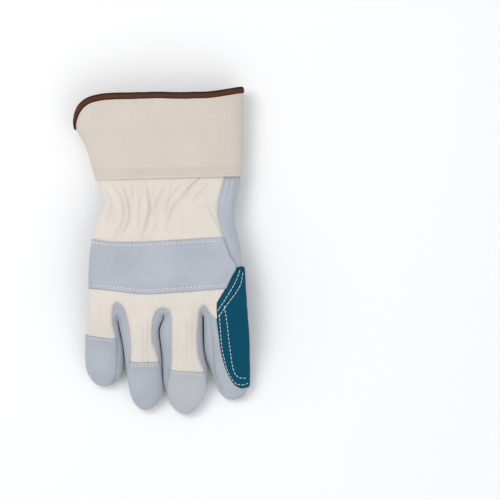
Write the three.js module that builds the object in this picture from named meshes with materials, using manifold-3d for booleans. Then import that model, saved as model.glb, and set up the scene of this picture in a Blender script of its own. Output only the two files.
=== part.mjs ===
// A right-hand rigger glove of split leather and cotton canvas, with a stiff safety cuff and a second
// layer of teal leather on its palm. It lies palm down with its thumb folded under the palm.
// Millimetres, +Z up. While it is built, y = 0 is the crotch line of the fingers, the fingers point
// along -Y, the cuff's mouth is at +Y and the thumb's side is +X. At the end the glove is centred on
// the point of the floor under the middle of its bounding box.
import * as THREE from "three";
import { mergeVertices } from "three/addons/utils/BufferGeometryUtils.js";
import Module from "manifold-3d";

const wasm = await Module();
wasm.setup();

// Driving sizes: the hand.
const palmWidth = 126;
const handLength = 104;
const handDepth = 22;
const palmRise = 18;
const elasticShare = 0.8;
const gatherDepth = 2.6;
const gatherSpread = 3.4;

// Driving sizes: the fingers and the thumb.
const littleLength = 64.5;
const littleWidth = 30;
const ringLength = 84;
const ringWidth = 33;
const middleLength = 86.5;
const middleWidth = 36;
const indexLength = 76;
const indexWidth = 36;
const fingerDepth = 19;
const thumbReach = 73;
const thumbWidth = 40;
const thumbDepth = 13;
const thumbFoldHeight = 26.5;

// Driving sizes: the cuff.
const cuffHeight = 74.5;
const cuffMouthWidth = 140;
const cuffMouthDepth = 34;
const bindingWidth = 4.6;

// Driving sizes: the second layers.
const strapHeight = 41;
const strapSag = 3.6;
const veinPatchWidth = 62;
const veinPatchHeight = 26;
const doublePalmHeight = 80;

// Walls and clearances.
const leatherWall = 1.6;
const canvasWall = 1.2;
const cuffWall = 2;
const overlayWall = 1.3;
const bindingWall = 1;
const seamGap = 0.3;
const fingerGap = 0.8;

// How finely the surfaces are divided.
const handBackColumns = 20;
const handPalmColumns = 7;
const fingerBackColumns = 7;
const fingerPalmColumns = 5;
const mouthSteps = 12;

const overlayRise = seamGap + overlayWall;
const openEnd = 6;
const far = 120;

// The hand's sections from inside the cuff to the crotch of the fingers. along is a share of
// handLength, left and right of palmWidth, thick of handDepth and rise of palmRise. tip is how much
// of a wall's thickness lies along the hand, where its end closes.
const handSections = [
  { along: 1.08, left: -0.42, right: 0.468, thick: 0.94, rise: 0.34, tip: 0 },
  { along: 1.0, left: -0.4254, right: 0.4754, thick: 0.98, rise: 0.33, tip: 0 },
  { along: 0.865, left: -0.408, right: 0.455, thick: 0.95, rise: 0.52, tip: 0 },
  { along: 0.808, left: -0.393, right: 0.444, thick: 0.94, rise: 0.63, tip: 0 },
  { along: 0.75, left: -0.407, right: 0.4365, thick: 0.96, rise: 0.75, tip: 0 },
  { along: 0.68, left: -0.4325, right: 0.439, thick: 0.98, rise: 0.88, tip: 0 },
  { along: 0.54, left: -0.47, right: 0.462, thick: 1.0, rise: 1.0, tip: 0 },
  { along: 0.433, left: -0.486, right: 0.4786, thick: 1.0, rise: 1.0, tip: 0 },
  { along: 0.308, left: -0.496, right: 0.49, thick: 1.0, rise: 1.0, tip: 0 },
  { along: 0.144, left: -0.498, right: 0.495, thick: 0.98, rise: 1.0, tip: 0 },
  { along: 0.038, left: -0.5, right: 0.503, thick: 0.86, rise: 1.08, tip: 0 },
  { along: -0.03, left: -0.492, right: 0.495, thick: 0.55, rise: 1.25, tip: 0.5 },
  { along: -0.055, left: -0.47, right: 0.47, thick: 0.22, rise: 1.42, tip: 1 },
];

// The main gathers that the wrist elastic draws in the canvas. across is a share of palmWidth at the
// elastic, lean how far the fold runs sideways for each millimetre towards the cuff, height a share
// of gatherDepth.
const gathers = [
  { across: -0.345, lean: -0.25, height: 0.9 },
  { across: -0.27, lean: -0.3, height: 1.0 },
  { across: -0.195, lean: -0.15, height: 0.8 },
  { across: -0.12, lean: -0.05, height: 1.0 },
  { across: -0.045, lean: 0.1, height: 0.9 },
  { across: 0.035, lean: 0.45, height: 1.0 },
  { across: 0.115, lean: 0.6, height: 0.8 },
  { across: 0.19, lean: 0.7, height: 0.6 },
  { across: 0.27, lean: -0.4, height: 0.5 },
];

// How every finger thickens, comes down to the floor and rounds off. along is a share of its length,
// thick of fingerDepth, rise of palmRise, tip how much of a wall's thickness lies along the finger.
const fingerProfile = [
  { along: -0.3, thick: 0.55, rise: 1.25, tip: 0 },
  { along: 0, thick: 0.98, rise: 1.02, tip: 0 },
  { along: 0.24, thick: 1.0, rise: 0.78, tip: 0 },
  { along: 0.36, thick: 1.0, rise: 0.58, tip: 0 },
  { along: 0.5, thick: 1.0, rise: 0.34, tip: 0 },
  { along: 0.68, thick: 0.97, rise: 0.05, tip: 0 },
  { along: 0.84, thick: 0.86, rise: -0.06, tip: 0.2 },
  { along: 0.93, thick: 0.68, rise: -0.04, tip: 0.5 },
  { along: 0.98, thick: 0.45, rise: 0.05, tip: 0.85 },
  { along: 1.0, thick: 0.27, rise: 0.13, tip: 1 },
];

// Each finger: place is the share of palmWidth of its axis. edges are its two side edges, back the
// side seams of its canvas strip, and cap those of its leather tip, all shares of its own width.
const fingers = {
  little: {
    place: -0.397,
    length: littleLength,
    width: littleWidth,
    edges: [
      { along: -0.3, left: -0.3, right: 0.42 },
      { along: 0, left: -0.433, right: 0.333 },
      { along: 0.24, left: -0.46, right: 0.39 },
      { along: 0.36, left: -0.487, right: 0.45 },
      { along: 0.5, left: -0.51, right: 0.49 },
      { along: 0.68, left: -0.51, right: 0.51 },
      { along: 0.84, left: -0.41, right: 0.49 },
      { along: 0.93, left: -0.27, right: 0.4 },
      { along: 0.98, left: -0.09, right: 0.25 },
      { along: 1.0, left: 0, right: 0.16 },
    ],
    back: [
      { along: -0.09, left: -0.8, right: 0.6 },
      { along: -0.065, left: -0.8, right: 0.35 },
      { along: -0.04, left: -0.8, right: 0.29 },
      { along: 0, left: -0.8, right: 0.27 },
      { along: 0.09, left: -0.8, right: 0.257 },
      { along: 0.2, left: -0.8, right: 0.235 },
      { along: 0.37, left: -0.8, right: 0.223 },
    ],
    cap: [
      { along: 0.37, left: -0.8, right: 0.31 },
      { along: 0.8, left: -0.8, right: 0.32 },
      { along: 0.91, left: -0.8, right: 0.36 },
      { along: 0.95, left: -0.8, right: 0.6 },
      { along: 1.2, left: -0.8, right: 0.6 },
    ],
  },
  ring: {
    place: -0.139,
    length: ringLength,
    width: ringWidth,
    edges: [
      { along: -0.3, left: -0.55, right: 0.52 },
      { along: 0, left: -0.682, right: 0.497 },
      { along: 0.24, left: -0.602, right: 0.362 },
      { along: 0.36, left: -0.542, right: 0.402 },
      { along: 0.5, left: -0.518, right: 0.432 },
      { along: 0.68, left: -0.445, right: 0.439 },
      { along: 0.84, left: -0.325, right: 0.5 },
      { along: 0.93, left: -0.2, right: 0.43 },
      { along: 0.98, left: -0.055, right: 0.28 },
      { along: 1.0, left: 0.05, right: 0.2 },
    ],
    back: [
      { along: -0.06, left: -0.76, right: 0.62 },
      { along: -0.04, left: -0.63, right: 0.62 },
      { along: -0.015, left: -0.53, right: 0.62 },
      { along: 0.01, left: -0.495, right: 0.45 },
      { along: 0.03, left: -0.465, right: 0.35 },
      { along: 0.06, left: -0.44, right: 0.262 },
      { along: 0.15, left: -0.4, right: 0.2 },
      { along: 0.27, left: -0.355, right: 0.178 },
      { along: 0.38, left: -0.345, right: 0.23 },
      { along: 0.52, left: -0.345, right: 0.339 },
    ],
    cap: [
      { along: 0.52, left: -0.4, right: 0.37 },
      { along: 0.7, left: -0.37, right: 0.36 },
      { along: 0.85, left: -0.26, right: 0.42 },
      { along: 0.9, left: -0.4, right: 0.6 },
      { along: 1.2, left: -0.4, right: 0.6 },
    ],
  },
  middle: {
    place: 0.139,
    length: middleLength,
    width: middleWidth,
    edges: [
      { along: -0.3, left: -0.5, right: 0.47 },
      { along: 0, left: -0.517, right: 0.341 },
      { along: 0.24, left: -0.636, right: 0.336 },
      { along: 0.36, left: -0.601, right: 0.339 },
      { along: 0.5, left: -0.575, right: 0.383 },
      { along: 0.68, left: -0.575, right: 0.466 },
      { along: 0.84, left: -0.453, right: 0.42 },
      { along: 0.93, left: -0.364, right: 0.32 },
      { along: 0.98, left: -0.239, right: 0.19 },
      { along: 1.0, left: -0.13, right: 0.05 },
    ],
    back: [
      { along: -0.06, left: -0.62, right: 0.6 },
      { along: -0.02, left: -0.62, right: 0.38 },
      { along: 0.008, left: -0.56, right: 0.3 },
      { along: 0.03, left: -0.44, right: 0.27 },
      { along: 0.06, left: -0.375, right: 0.26 },
      { along: 0.14, left: -0.353, right: 0.242 },
      { along: 0.28, left: -0.353, right: 0.219 },
      { along: 0.42, left: -0.36, right: 0.23 },
      { along: 0.52, left: -0.372, right: 0.283 },
      { along: 0.6, left: -0.39, right: 0.342 },
    ],
    cap: [
      { along: 0.6, left: -0.47, right: 0.37 },
      { along: 0.72, left: -0.48, right: 0.39 },
      { along: 0.86, left: -0.36, right: 0.34 },
      { along: 0.91, left: -0.6, right: 0.6 },
      { along: 1.2, left: -0.6, right: 0.6 },
    ],
  },
  index: {
    place: 0.389,
    length: indexLength,
    width: indexWidth,
    edges: [
      { along: -0.3, left: -0.5, right: 0.3 },
      { along: 0, left: -0.533, right: 0.414 },
      { along: 0.24, left: -0.536, right: 0.467 },
      { along: 0.36, left: -0.53, right: 0.486 },
      { along: 0.5, left: -0.5, right: 0.494 },
      { along: 0.68, left: -0.355, right: 0.494 },
      { along: 0.84, left: -0.261, right: 0.49 },
      { along: 0.93, left: -0.183, right: 0.46 },
      { along: 0.98, left: -0.04, right: 0.38 },
      { along: 1.0, left: 0.08, right: 0.26 },
    ],
    back: [
      { along: -0.06, left: -0.6, right: -0.18 },
      { along: -0.015, left: -0.52, right: -0.18 },
      { along: 0.01, left: -0.42, right: -0.18 },
      { along: 0.05, left: -0.34, right: -0.2 },
    ],
  },
};

// The thumb, from the fold at the hand's side to its tip under the palm. along is a share of
// thumbReach across the hand, up and down of thumbWidth towards the cuff and towards the fingers,
// low and high of thumbFoldHeight. tip is how much of a wall's thickness lies along the thumb.
const thumbSections = [
  { along: 0, up: -0.3, down: 0.3, low: 0.36, high: 0.72, tip: -1 },
  { along: 0.03, up: -0.44, down: 0.47, low: 0.18, high: 0.89, tip: -0.4 },
  { along: 0.09, up: -0.51, down: 0.59, low: 0.05, high: 1.0, tip: 0 },
  { along: 0.17, up: -0.45, down: 0.68, low: -0.04, high: 0.95, tip: 0 },
  { along: 0.28, up: -0.31, down: 0.77, low: -0.04, high: 0.6, tip: 0 },
  { along: 0.38, up: -0.17, down: 0.86, low: -0.04, high: 0.5, tip: 0 },
  { along: 0.62, up: 0.07, down: 1.05, low: -0.04, high: 0.49, tip: 0 },
  { along: 0.8, up: 0.29, down: 1.15, low: -0.04, high: 0.47, tip: 0.1 },
  { along: 0.91, up: 0.46, down: 1.14, low: -0.04, high: 0.4, tip: 0.5 },
  { along: 0.97, up: 0.63, down: 1.06, low: -0.04, high: 0.31, tip: 0.85 },
  { along: 1.0, up: 0.78, down: 0.96, low: 0.03, high: 0.22, tip: 1 },
];

// The cuff's sections from its foot seam to past its mouth. along is a share of cuffHeight, the other
// columns the share of the way from the foot's edges to the mouth's.
const cuffSections = [
  { along: 0, left: 0, right: 0, low: 0, high: 0 },
  { along: 0.2, left: 0.17, right: 0.2, low: 0.15, high: 0.3 },
  { along: 0.36, left: 0.33, right: 0.4, low: 0.32, high: 0.55 },
  { along: 0.5, left: 0.57, right: 0.6, low: 0.7, high: 0.75 },
  { along: 0.64, left: 0.8, right: 0.7, low: 1, high: 0.88 },
  { along: 0.8, left: 0.94, right: 0.9, low: 1, high: 1 },
  { along: 1.06, left: 1, right: 1, low: 1, high: 1 },
];

// The cuff's mouth edge from the thumb's side to the rounded notch at the little finger's side.
// across is a share of cuffMouthWidth, drop of cuffHeight, down from the highest point.
const mouthEdge = [
  { across: 0.52, drop: 0 },
  { across: 0.444, drop: 0.003 },
  { across: 0.367, drop: 0.023 },
  { across: 0.227, drop: 0.063 },
  { across: -0.052, drop: 0.058 },
  { across: -0.332, drop: 0.077 },
  { across: -0.444, drop: 0.123 },
  { across: -0.507, drop: 0.242 },
  { across: -0.532, drop: 0.36 },
  { across: -0.536, drop: 0.46 },
];

// The thumb-side seam of the canvas, from the cuff down the wrist, across the strap's end and under
// the teal layer. along is a share of handLength, across of palmWidth.
const canvasSeam = [
  { along: 1.2, across: 0.372 },
  { along: 1.0, across: 0.371 },
  { along: 0.865, across: 0.346 },
  { along: 0.79, across: 0.332 },
  { along: 0.71, across: 0.331 },
  { along: 0.635, across: 0.346 },
  { along: 0.53, across: 0.371 },
  { along: 0.33, across: 0.463 },
  { along: 0.25, across: 0.44 },
  { along: 0.125, across: 0.386 },
  { along: -0.02, across: 0.335 },
];

// The edge of the teal layer on the back: across the hand, as shares of handLength and palmWidth, and
// down the index finger, as shares of its own length and width.
const wrapOnHand = [
  { along: 0.308, across: 0.462 },
  { along: 0.21, across: 0.408 },
  { along: 0.04, across: 0.322 },
];
const wrapOnIndex = [
  { along: 0, left: -0.247, right: 0.9 },
  { along: 0.23, left: -0.206, right: 0.9 },
  { along: 0.44, left: -0.153, right: 0.9 },
  { along: 0.7, left: 0.011, right: 0.9 },
  { along: 0.82, left: 0.175, right: 0.9 },
  { along: 0.865, left: 0.333, right: 0.9 },
];
const frontOfIndex = [
  { along: -0.06, left: -0.38, right: 0.9 },
  { along: 0.45, left: -0.34, right: 0.9 },
  { along: 0.66, left: -0.17, right: 0.9 },
  { along: 0.78, left: 0, right: 0.9 },
  { along: 0.865, left: 0.22, right: 0.9 },
];

// One column of a table at any share along it.
function columnAt(table, along, column) {
  const rows = [...table].sort((a, b) => a.along - b.along);
  const after = rows.findIndex((row) => row.along >= along);
  if (after === 0) return rows[0][column];
  if (after < 0) return rows[rows.length - 1][column];
  const [a, b] = [rows[after - 1], rows[after]];
  return THREE.MathUtils.mapLinear(along, a.along, b.along, a[column], b[column]);
}

// Geometry with shared vertices becomes a solid that can be joined and cut.
function solidOf(geometry) {
  geometry.deleteAttribute("normal");
  geometry.deleteAttribute("uv");
  const merged = mergeVertices(geometry, 1e-4);
  return new wasm.Manifold(
    new wasm.Mesh({
      numProp: 3,
      vertProperties: merged.attributes.position.array,
      triVerts: new Uint32Array(merged.index.array),
    }),
  );
}

// A closed loft through rings of [x, y, z] points. Each ring runs from its left edge over the top to
// its right edge and home underneath, and the rings follow each other towards -Y.
function loft(rings) {
  const count = rings[0].length;
  const points = rings.flat();
  const index = [];
  rings.slice(1).forEach((_, r) => {
    for (let k = 0; k < count; k++) {
      const next = (k + 1) % count;
      const [a, b] = [r * count + k, r * count + next];
      const [c, d] = [b + count, a + count];
      index.push(a, d, c, a, c, b);
    }
  });
  for (const [r, flip] of [
    [0, false],
    [rings.length - 1, true],
  ]) {
    const centre = points.length;
    const total = rings[r].reduce((sum, p) => sum.map((v, i) => v + p[i]), [0, 0, 0]);
    points.push(total.map((v) => v / count));
    for (let k = 0; k < count; k++) {
      const [a, b] = [r * count + k, r * count + ((k + 1) % count)];
      index.push(centre, ...(flip ? [b, a] : [a, b]));
    }
  }
  const geometry = new THREE.BufferGeometry();
  geometry.setAttribute("position", new THREE.Float32BufferAttribute(points.flat(), 3));
  geometry.setIndex(index);
  return geometry;
}

// One oval ring of a tube, grown outwards by a wall's thickness. Its underside is flat where it
// presses on the floor, and fold(x, y) lifts its back.
function ovalRing(section, grow, tube) {
  const halfWidth = Math.max((section.right - section.left) / 2 + grow, 0.3);
  const halfDepth = Math.max((section.high - section.low) / 2 + grow, 0.3);
  const xMid = (section.left + section.right) / 2;
  const zMid = (section.low + section.high) / 2;
  const y = section.y - grow * (section.tip ?? 0);
  const point = (share, side) => {
    const x = xMid + halfWidth * share;
    const rise = Math.pow(1 - Math.pow(Math.abs(share), tube.square), 1 / tube.square);
    const lift = side > 0 && tube.fold ? tube.fold(x, y) * rise : 0;
    return [x, y, Math.max(zMid + side * halfDepth * rise + lift, tube.rest - grow)];
  };
  const shares = (columns, even) =>
    Array.from({ length: columns }, (_, k) => {
      const turn = k / columns;
      return even * (2 * turn - 1) - (1 - even) * Math.cos(Math.PI * turn);
    });
  return [
    ...shares(tube.backColumns, tube.even).map((share) => point(share, 1)),
    ...shares(tube.palmColumns, tube.even).map((share) => point(-share, -1)),
  ];
}

// A whole tube as a solid, grown by a wall's thickness. What is cut away to hollow it runs on past
// its open ends.
function tubeSolid(tube, grow) {
  const [first, last] = [tube.sections[0], tube.sections[tube.sections.length - 1]];
  const before = grow < 0 && tube.openStart ? [{ ...first, y: first.y + openEnd }] : [];
  const after = grow < 0 && tube.openFinish ? [{ ...last, y: last.y - openEnd }] : [];
  const sections = [...before, ...tube.sections, ...after];
  const geometry = loft(sections.map((section) => ovalRing(section, grow, tube)));
  if (tube.turn) geometry.applyMatrix4(tube.turn);
  return solidOf(geometry);
}

const joined = (solids) => solids.reduce((sum, solid) => sum.add(solid));
const grown = (tubes, grow) => joined(tubes.map((tube) => tubeSolid(tube, grow)));
const wallOf = (tubes, outer, inner) => grown(tubes, outer).subtract(grown(tubes, inner));

// A cutter between two side edges and two heights, lofted along Y from the highest y to the lowest,
// and turned with the piece that it cuts.
function bandSolid(rows, turn = new THREE.Matrix4()) {
  const rings = rows.map(({ y, left, right, low, high }) => [
    [left, y, low],
    [left, y, high],
    [right, y, high],
    [right, y, low],
  ]);
  return solidOf(loft(rings).applyMatrix4(turn));
}

// A cutter of any outline seen from above.
function prismSolid(points, low, high) {
  const outline = new THREE.Shape(points.map(([x, y]) => new THREE.Vector2(x, y)));
  const geometry = new THREE.ExtrudeGeometry(outline, { depth: high - low, bevelEnabled: false });
  geometry.translate(0, 0, low);
  return solidOf(geometry);
}

// The hand's sections in millimetres, and the wrist's gathers on its back.
const handTube = {
  sections: handSections.map(({ along, left, right, thick, rise, tip }) => ({
    y: along * handLength,
    left: left * palmWidth,
    right: right * palmWidth,
    low: rise * palmRise,
    high: rise * palmRise + thick * handDepth,
    tip,
  })),
  openStart: true,
  square: 2.5,
  even: 0.55,
  backColumns: handBackColumns,
  palmColumns: handPalmColumns,
  rest: -far,
  fold: gatherLift,
};
const handMid = (y) => {
  const along = y / handLength;
  const thick = columnAt(handSections, along, "thick") * handDepth;
  return columnAt(handSections, along, "rise") * palmRise + thick / 2;
};
const handEdge = (y, side) => columnAt(handSections, y / handLength, side) * palmWidth;

// How far the gathers lift the wrist canvas at a point of the back.
function gatherLift(x, y) {
  const toCuff = (y / handLength - elasticShare) / (1 - elasticShare);
  const toStrap = (elasticShare - y / handLength) / (elasticShare - 0.52);
  const fade = 1 - Math.max(toCuff, toStrap);
  if (fade <= 0) return 0;
  const run = y - elasticShare * handLength;
  const lifts = gathers.map(({ across, lean, height }) => {
    const aside = (x - across * palmWidth - lean * run) / gatherSpread;
    return height * Math.exp(-aside * aside);
  });
  return gatherDepth * fade * lifts.reduce((sum, lift) => sum + lift, 0);
}

// A finger's height profile at a share along it, and its side edges, in millimetres.
const fingerLow = (along) => columnAt(fingerProfile, along, "rise") * palmRise;
const fingerHigh = (along) => fingerLow(along) + columnAt(fingerProfile, along, "thick") * fingerDepth;
const fingerMid = (along) => (fingerLow(along) + fingerHigh(along)) / 2;
const edgeOf = (finger, share) => finger.place * palmWidth + share * finger.width;
const sideAt = (finger, y, side) => edgeOf(finger, columnAt(finger.edges, -y / finger.length, side));

function fingerTube(finger, rest) {
  return {
    sections: finger.edges.map(({ along, left, right }) => ({
      y: -along * finger.length,
      left: edgeOf(finger, left) + fingerGap / 2,
      right: edgeOf(finger, right) - fingerGap / 2,
      low: fingerLow(along),
      high: fingerHigh(along),
      tip: columnAt(fingerProfile, along, "tip"),
    })),
    square: 2.3,
    even: 0.3,
    backColumns: fingerBackColumns,
    palmColumns: fingerPalmColumns,
    rest,
  };
}

// The index finger carries the teal layer underneath, so it presses on the floor through that layer.
const fingerTubes = {
  little: fingerTube(fingers.little, 0),
  ring: fingerTube(fingers.ring, 0),
  middle: fingerTube(fingers.middle, 0),
  index: fingerTube(fingers.index, overlayRise),
};

// The thumb folds back under the palm from the hand's side and lies on the floor.
const thumbRootY = 0.59 * handLength;
const thumbRootX = handEdge(thumbRootY, "right") - 1.5;
const thumbTube = {
  sections: thumbSections.map(({ along, up, down, low, high, tip }) => ({
    y: -along * thumbReach,
    left: up * thumbWidth,
    right: down * thumbWidth,
    low: low * thumbFoldHeight,
    high: high * thumbFoldHeight,
    tip,
  })),
  square: 2.4,
  even: 0.3,
  backColumns: fingerBackColumns,
  palmColumns: fingerPalmColumns,
  rest: 0,
  turn: new THREE.Matrix4()
    .makeTranslation(thumbRootX, thumbRootY, 0)
    .multiply(new THREE.Matrix4().makeRotationZ(-Math.PI / 2)),
};

const mainTubes = [handTube, ...Object.values(fingerTubes)];
const hollow = grown([...mainTubes, thumbTube], -leatherWall);
const mainOuter = grown(mainTubes, 0);
const handOpening = prismSolid(
  [
    [-far, handSections[0].along * handLength],
    [far, handSections[0].along * handLength],
    [far, -far],
    [-far, -far],
  ],
  -far,
  far,
);

// The back of the hand and of three fingers, as cutters that stop at the side seams. seam widens or
// narrows them, so that two neighbours keep their gap.
function handBackBand(seam) {
  const rows = canvasSeam.slice(0, -1).map(({ along, across }) => ({
    y: along * handLength,
    left: -far,
    right: across * palmWidth + seam,
    low: handMid(along * handLength) - seam,
    high: far,
  }));
  const last = canvasSeam[canvasSeam.length - 1];
  const hem = 0.03 * handLength - seam;
  const right = columnAt(canvasSeam, hem / handLength, "across") * palmWidth + seam;
  rows.push({
    y: hem,
    left: -far,
    right: Math.max(right, last.across * palmWidth),
    low: handMid(hem) - seam,
    high: far,
  });
  return bandSolid(rows);
}

function fingerBand(finger, table, seam) {
  return bandSolid(
    table.map(({ along, left, right }, i) => {
      const end = i === table.length - 1 ? seam : 0;
      const start = i === 0 ? 1 : 0;
      return {
        y: -along * finger.length - end + start,
        left: edgeOf(finger, left) - seam,
        right: edgeOf(finger, right) + seam,
        low: fingerMid(along) - seam,
        high: far,
      };
    }),
  );
}

const backBand = (seam) =>
  joined([handBackBand(seam), ...Object.values(fingers).map((f) => fingerBand(f, f.back, seam))]);

function capBand(finger, seam) {
  const start = finger.back[finger.back.length - 1].along;
  const rows = finger.cap.map((row) => ({ ...row }));
  rows[0].along = start + (seamGap - seam) / finger.length;
  return bandSolid(
    rows.map(({ along, left, right }) => ({
      y: -along * finger.length,
      left: edgeOf(finger, left) - seam,
      right: edgeOf(finger, right) + seam,
      low: fingerMid(along) - seam,
      high: far,
    })),
  );
}

// The two middle fingers' leather: everything between the outer creases, below a seam at their base.
function middleFingersBand(seam) {
  const { little, ring, middle, index } = fingers;
  const reach = middle.length * 1.1;
  const start = 0.025 * handLength + seam;
  const rows = Array.from({ length: 8 }, (_, i) => start - (i / 7) * (reach + start));
  const creaseOutside = (y, outer, outerSide, inner, innerSide) =>
    -y < outer.length * 0.93
      ? (sideAt(outer, y, outerSide) + sideAt(inner, y, innerSide)) / 2
      : sideAt(inner, y, innerSide) + (innerSide === "left" ? -2 : 2);
  return bandSolid(
    rows.map((y) => ({
      y,
      left: creaseOutside(y, little, "right", ring, "left") - seam,
      right: creaseOutside(y, index, "left", middle, "right") + seam,
      low: -far,
      high: far,
    })),
  );
}

// The canvas back with its finger strips, and the leather tips beyond them.
const cappedFingers = [fingers.little, fingers.ring, fingers.middle];
const handBack = mainOuter
  .subtract(grown(mainTubes, -canvasWall))
  .intersect(backBand(0))
  .intersect(handOpening);
const leatherShell = mainOuter.subtract(hollow);
const fingertips = cappedFingers.map((finger) => leatherShell.intersect(capBand(finger, 0)));

// The leather fronts and sides.
const frontLeather = cappedFingers.reduce(
  (left, finger) => left.subtract(capBand(finger, seamGap)),
  leatherShell.subtract(backBand(seamGap)),
);
const middleFingers = frontLeather.intersect(middleFingersBand(0));
const palmLeather = frontLeather
  .subtract(middleFingersBand(seamGap))
  .subtract(tubeSolid(thumbTube, seamGap).subtract(grown(mainTubes, -leatherWall - seamGap)))
  .intersect(handOpening);

// The thumb's leather is sewn of two pieces: the front is the half that faces the palm, beyond the
// fold, and the back is the other half and the fold itself.
const thumbFrontFrom = 0.22;
function thumbFrontBand(seam) {
  const { turn } = thumbTube;
  const start = { along: thumbFrontFrom };
  const beyond = thumbSections.filter(({ along }) => along > thumbFrontFrom);
  const midAt = (along) =>
    ((columnAt(thumbSections, along, "low") + columnAt(thumbSections, along, "high")) / 2) *
    thumbFoldHeight;
  const rows = [start, ...beyond, { along: 1.3 }].map(({ along }, i) => ({
    y: -along * thumbReach + (i === 0 ? seam : 0),
    left: -far,
    right: far,
    low: midAt(along) - seam,
    high: far,
  }));
  return bandSolid(rows, turn);
}
const thumbLeather = tubeSolid(thumbTube, 0).subtract(hollow).subtract(grown(mainTubes, seamGap));
const thumbFront = thumbLeather.intersect(thumbFrontBand(0));
const thumbBack = thumbLeather.subtract(thumbFrontBand(seamGap));

// The teal second layer: the palm, the index finger's front, and round its side to the back.
const overlayShell = grown(mainTubes, overlayRise).subtract(grown(mainTubes, seamGap));
const doublePalmTop = wrapOnHand[2].along * handLength + doublePalmHeight;
const wrapEnd = frontOfIndex[frontOfIndex.length - 1].along;
function wrapBand(seam) {
  const { index } = fingers;
  const onHand = wrapOnHand.map(({ along, across }) => ({
    y: along * handLength,
    left: across * palmWidth - seam,
    right: far,
    low: handMid(along * handLength) - 1,
    high: far,
  }));
  onHand[0].y += seam;
  const onIndex = wrapOnIndex.map(({ along, left, right }) => ({
    y: -along * index.length,
    left: edgeOf(index, left) - seam,
    right: edgeOf(index, right),
    low: fingerMid(along) - 1,
    high: far,
  }));
  return bandSolid([...onHand, ...onIndex]);
}
const palmBand = bandSolid(
  [
    { along: doublePalmTop / handLength, left: -0.37, right: 0.36 },
    { along: 0.6, left: -0.42, right: 0.4 },
    { along: 0.308, left: -0.46, right: 0.45 },
    { along: 0.3, left: -0.46, right: 0.9 },
    { along: 0.04, left: -0.465, right: 0.9 },
  ].map(({ along, left, right }) => ({
    y: along * handLength,
    left: left * palmWidth,
    right: right * palmWidth,
    low: -far,
    high: handMid(along * handLength),
  })),
);
const indexFrontBand = bandSolid([
  {
    y: 0.06 * handLength,
    left: edgeOf(fingers.index, frontOfIndex[0].left),
    right: far,
    low: -far,
    high: handMid(0),
  },
  ...frontOfIndex.slice(1).map(({ along, left, right }) => ({
    y: -along * fingers.index.length,
    left: edgeOf(fingers.index, left),
    right: edgeOf(fingers.index, right),
    low: -far,
    high: fingerMid(along),
  })),
]);
const doublePalm = overlayShell
  .intersect(joined([palmBand, indexFrontBand, wrapBand(0)]))
  .subtract(tubeSolid(thumbTube, seamGap));

// The strap across the knuckles, sagging a little between its ends, over the canvas.
const strapTop = 0.135 * handLength + strapHeight;
const strapSteps = 9;
const strapEdge = (y, steps) =>
  Array.from({ length: steps + 1 }, (_, i) => {
    const across = -0.6 + (1.1 * i) / steps;
    const sag = strapSag * (1 - Math.pow((across + 0.02) / 0.5, 2));
    return [across * palmWidth, y - sag];
  });
const strapOutline = [
  ...strapEdge(strapTop, strapSteps),
  ...strapEdge(strapTop - strapHeight, strapSteps).reverse(),
];
const knuckleStrap = overlayShell
  .intersect(prismSolid(strapOutline, 0, far))
  .intersect(handBackBand(0))
  .subtract(wrapBand(seamGap));

// The thumb's teal layer, on the side that faces the palm.
const patchFrom = thumbTube.sections.findLast(({ high }) => high > thumbDepth * 1.05).y;
const thumbPatch = tubeSolid(thumbTube, overlayRise)
  .subtract(tubeSolid(thumbTube, seamGap))
  .intersect(
    prismSolid(
      [
        [thumbRootX + patchFrom, -far],
        [thumbRootX + patchFrom, far],
        [thumbRootX - thumbReach * 0.95, far],
        [thumbRootX - thumbReach * 0.95, -far],
      ],
      thumbDepth / 2,
      far,
    ),
  )
  .subtract(grown(mainTubes, overlayRise + seamGap));

// A solid's faces as flat-shaded geometry.
function geometryOf(solid) {
  const { numProp, vertProperties, triVerts } = solid.getMesh();
  const positions = new Float32Array(triVerts.length * 3);
  triVerts.forEach((vertex, i) => {
    for (let axis = 0; axis < 3; axis++) positions[i * 3 + axis] = vertProperties[vertex * numProp + axis];
  });
  const geometry = new THREE.BufferGeometry();
  geometry.setAttribute("position", new THREE.Float32BufferAttribute(positions, 3));
  geometry.computeVertexNormals();
  return geometry;
}
// The cuff grows from the hand's end section, over it by the seam's clearance and its own wall.
const cuffFootY = handLength;
const cuffOver = 1.5 * seamGap + cuffWall;
const cuffRest = seamGap + bindingWall;
const footDepth = columnAt(handSections, 1, "thick") * handDepth;
const cuffFoot = {
  left: handEdge(cuffFootY, "left") - cuffOver,
  right: handEdge(cuffFootY, "right") + cuffOver,
  low: handMid(cuffFootY) - footDepth / 2 - cuffOver,
  high: handMid(cuffFootY) + footDepth / 2 + cuffOver,
};
const cuffMouth = {
  left: cuffFoot.right - cuffMouthWidth,
  right: cuffFoot.right,
  low: -0.6,
  high: cuffRest + cuffMouthDepth,
};
const cuffTube = {
  sections: [...cuffSections].reverse().map((row) => ({
    y: cuffFootY + row.along * cuffHeight,
    left: THREE.MathUtils.lerp(cuffFoot.left, cuffMouth.left, row.left),
    right: THREE.MathUtils.lerp(cuffFoot.right, cuffMouth.right, row.right),
    low: THREE.MathUtils.lerp(cuffFoot.low, cuffMouth.low, row.low),
    high: THREE.MathUtils.lerp(cuffFoot.high, cuffMouth.high, row.high),
  })),
  openStart: true,
  openFinish: true,
  square: handTube.square,
  even: handTube.even,
  backColumns: handBackColumns,
  palmColumns: handPalmColumns,
  rest: cuffRest,
};

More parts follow.
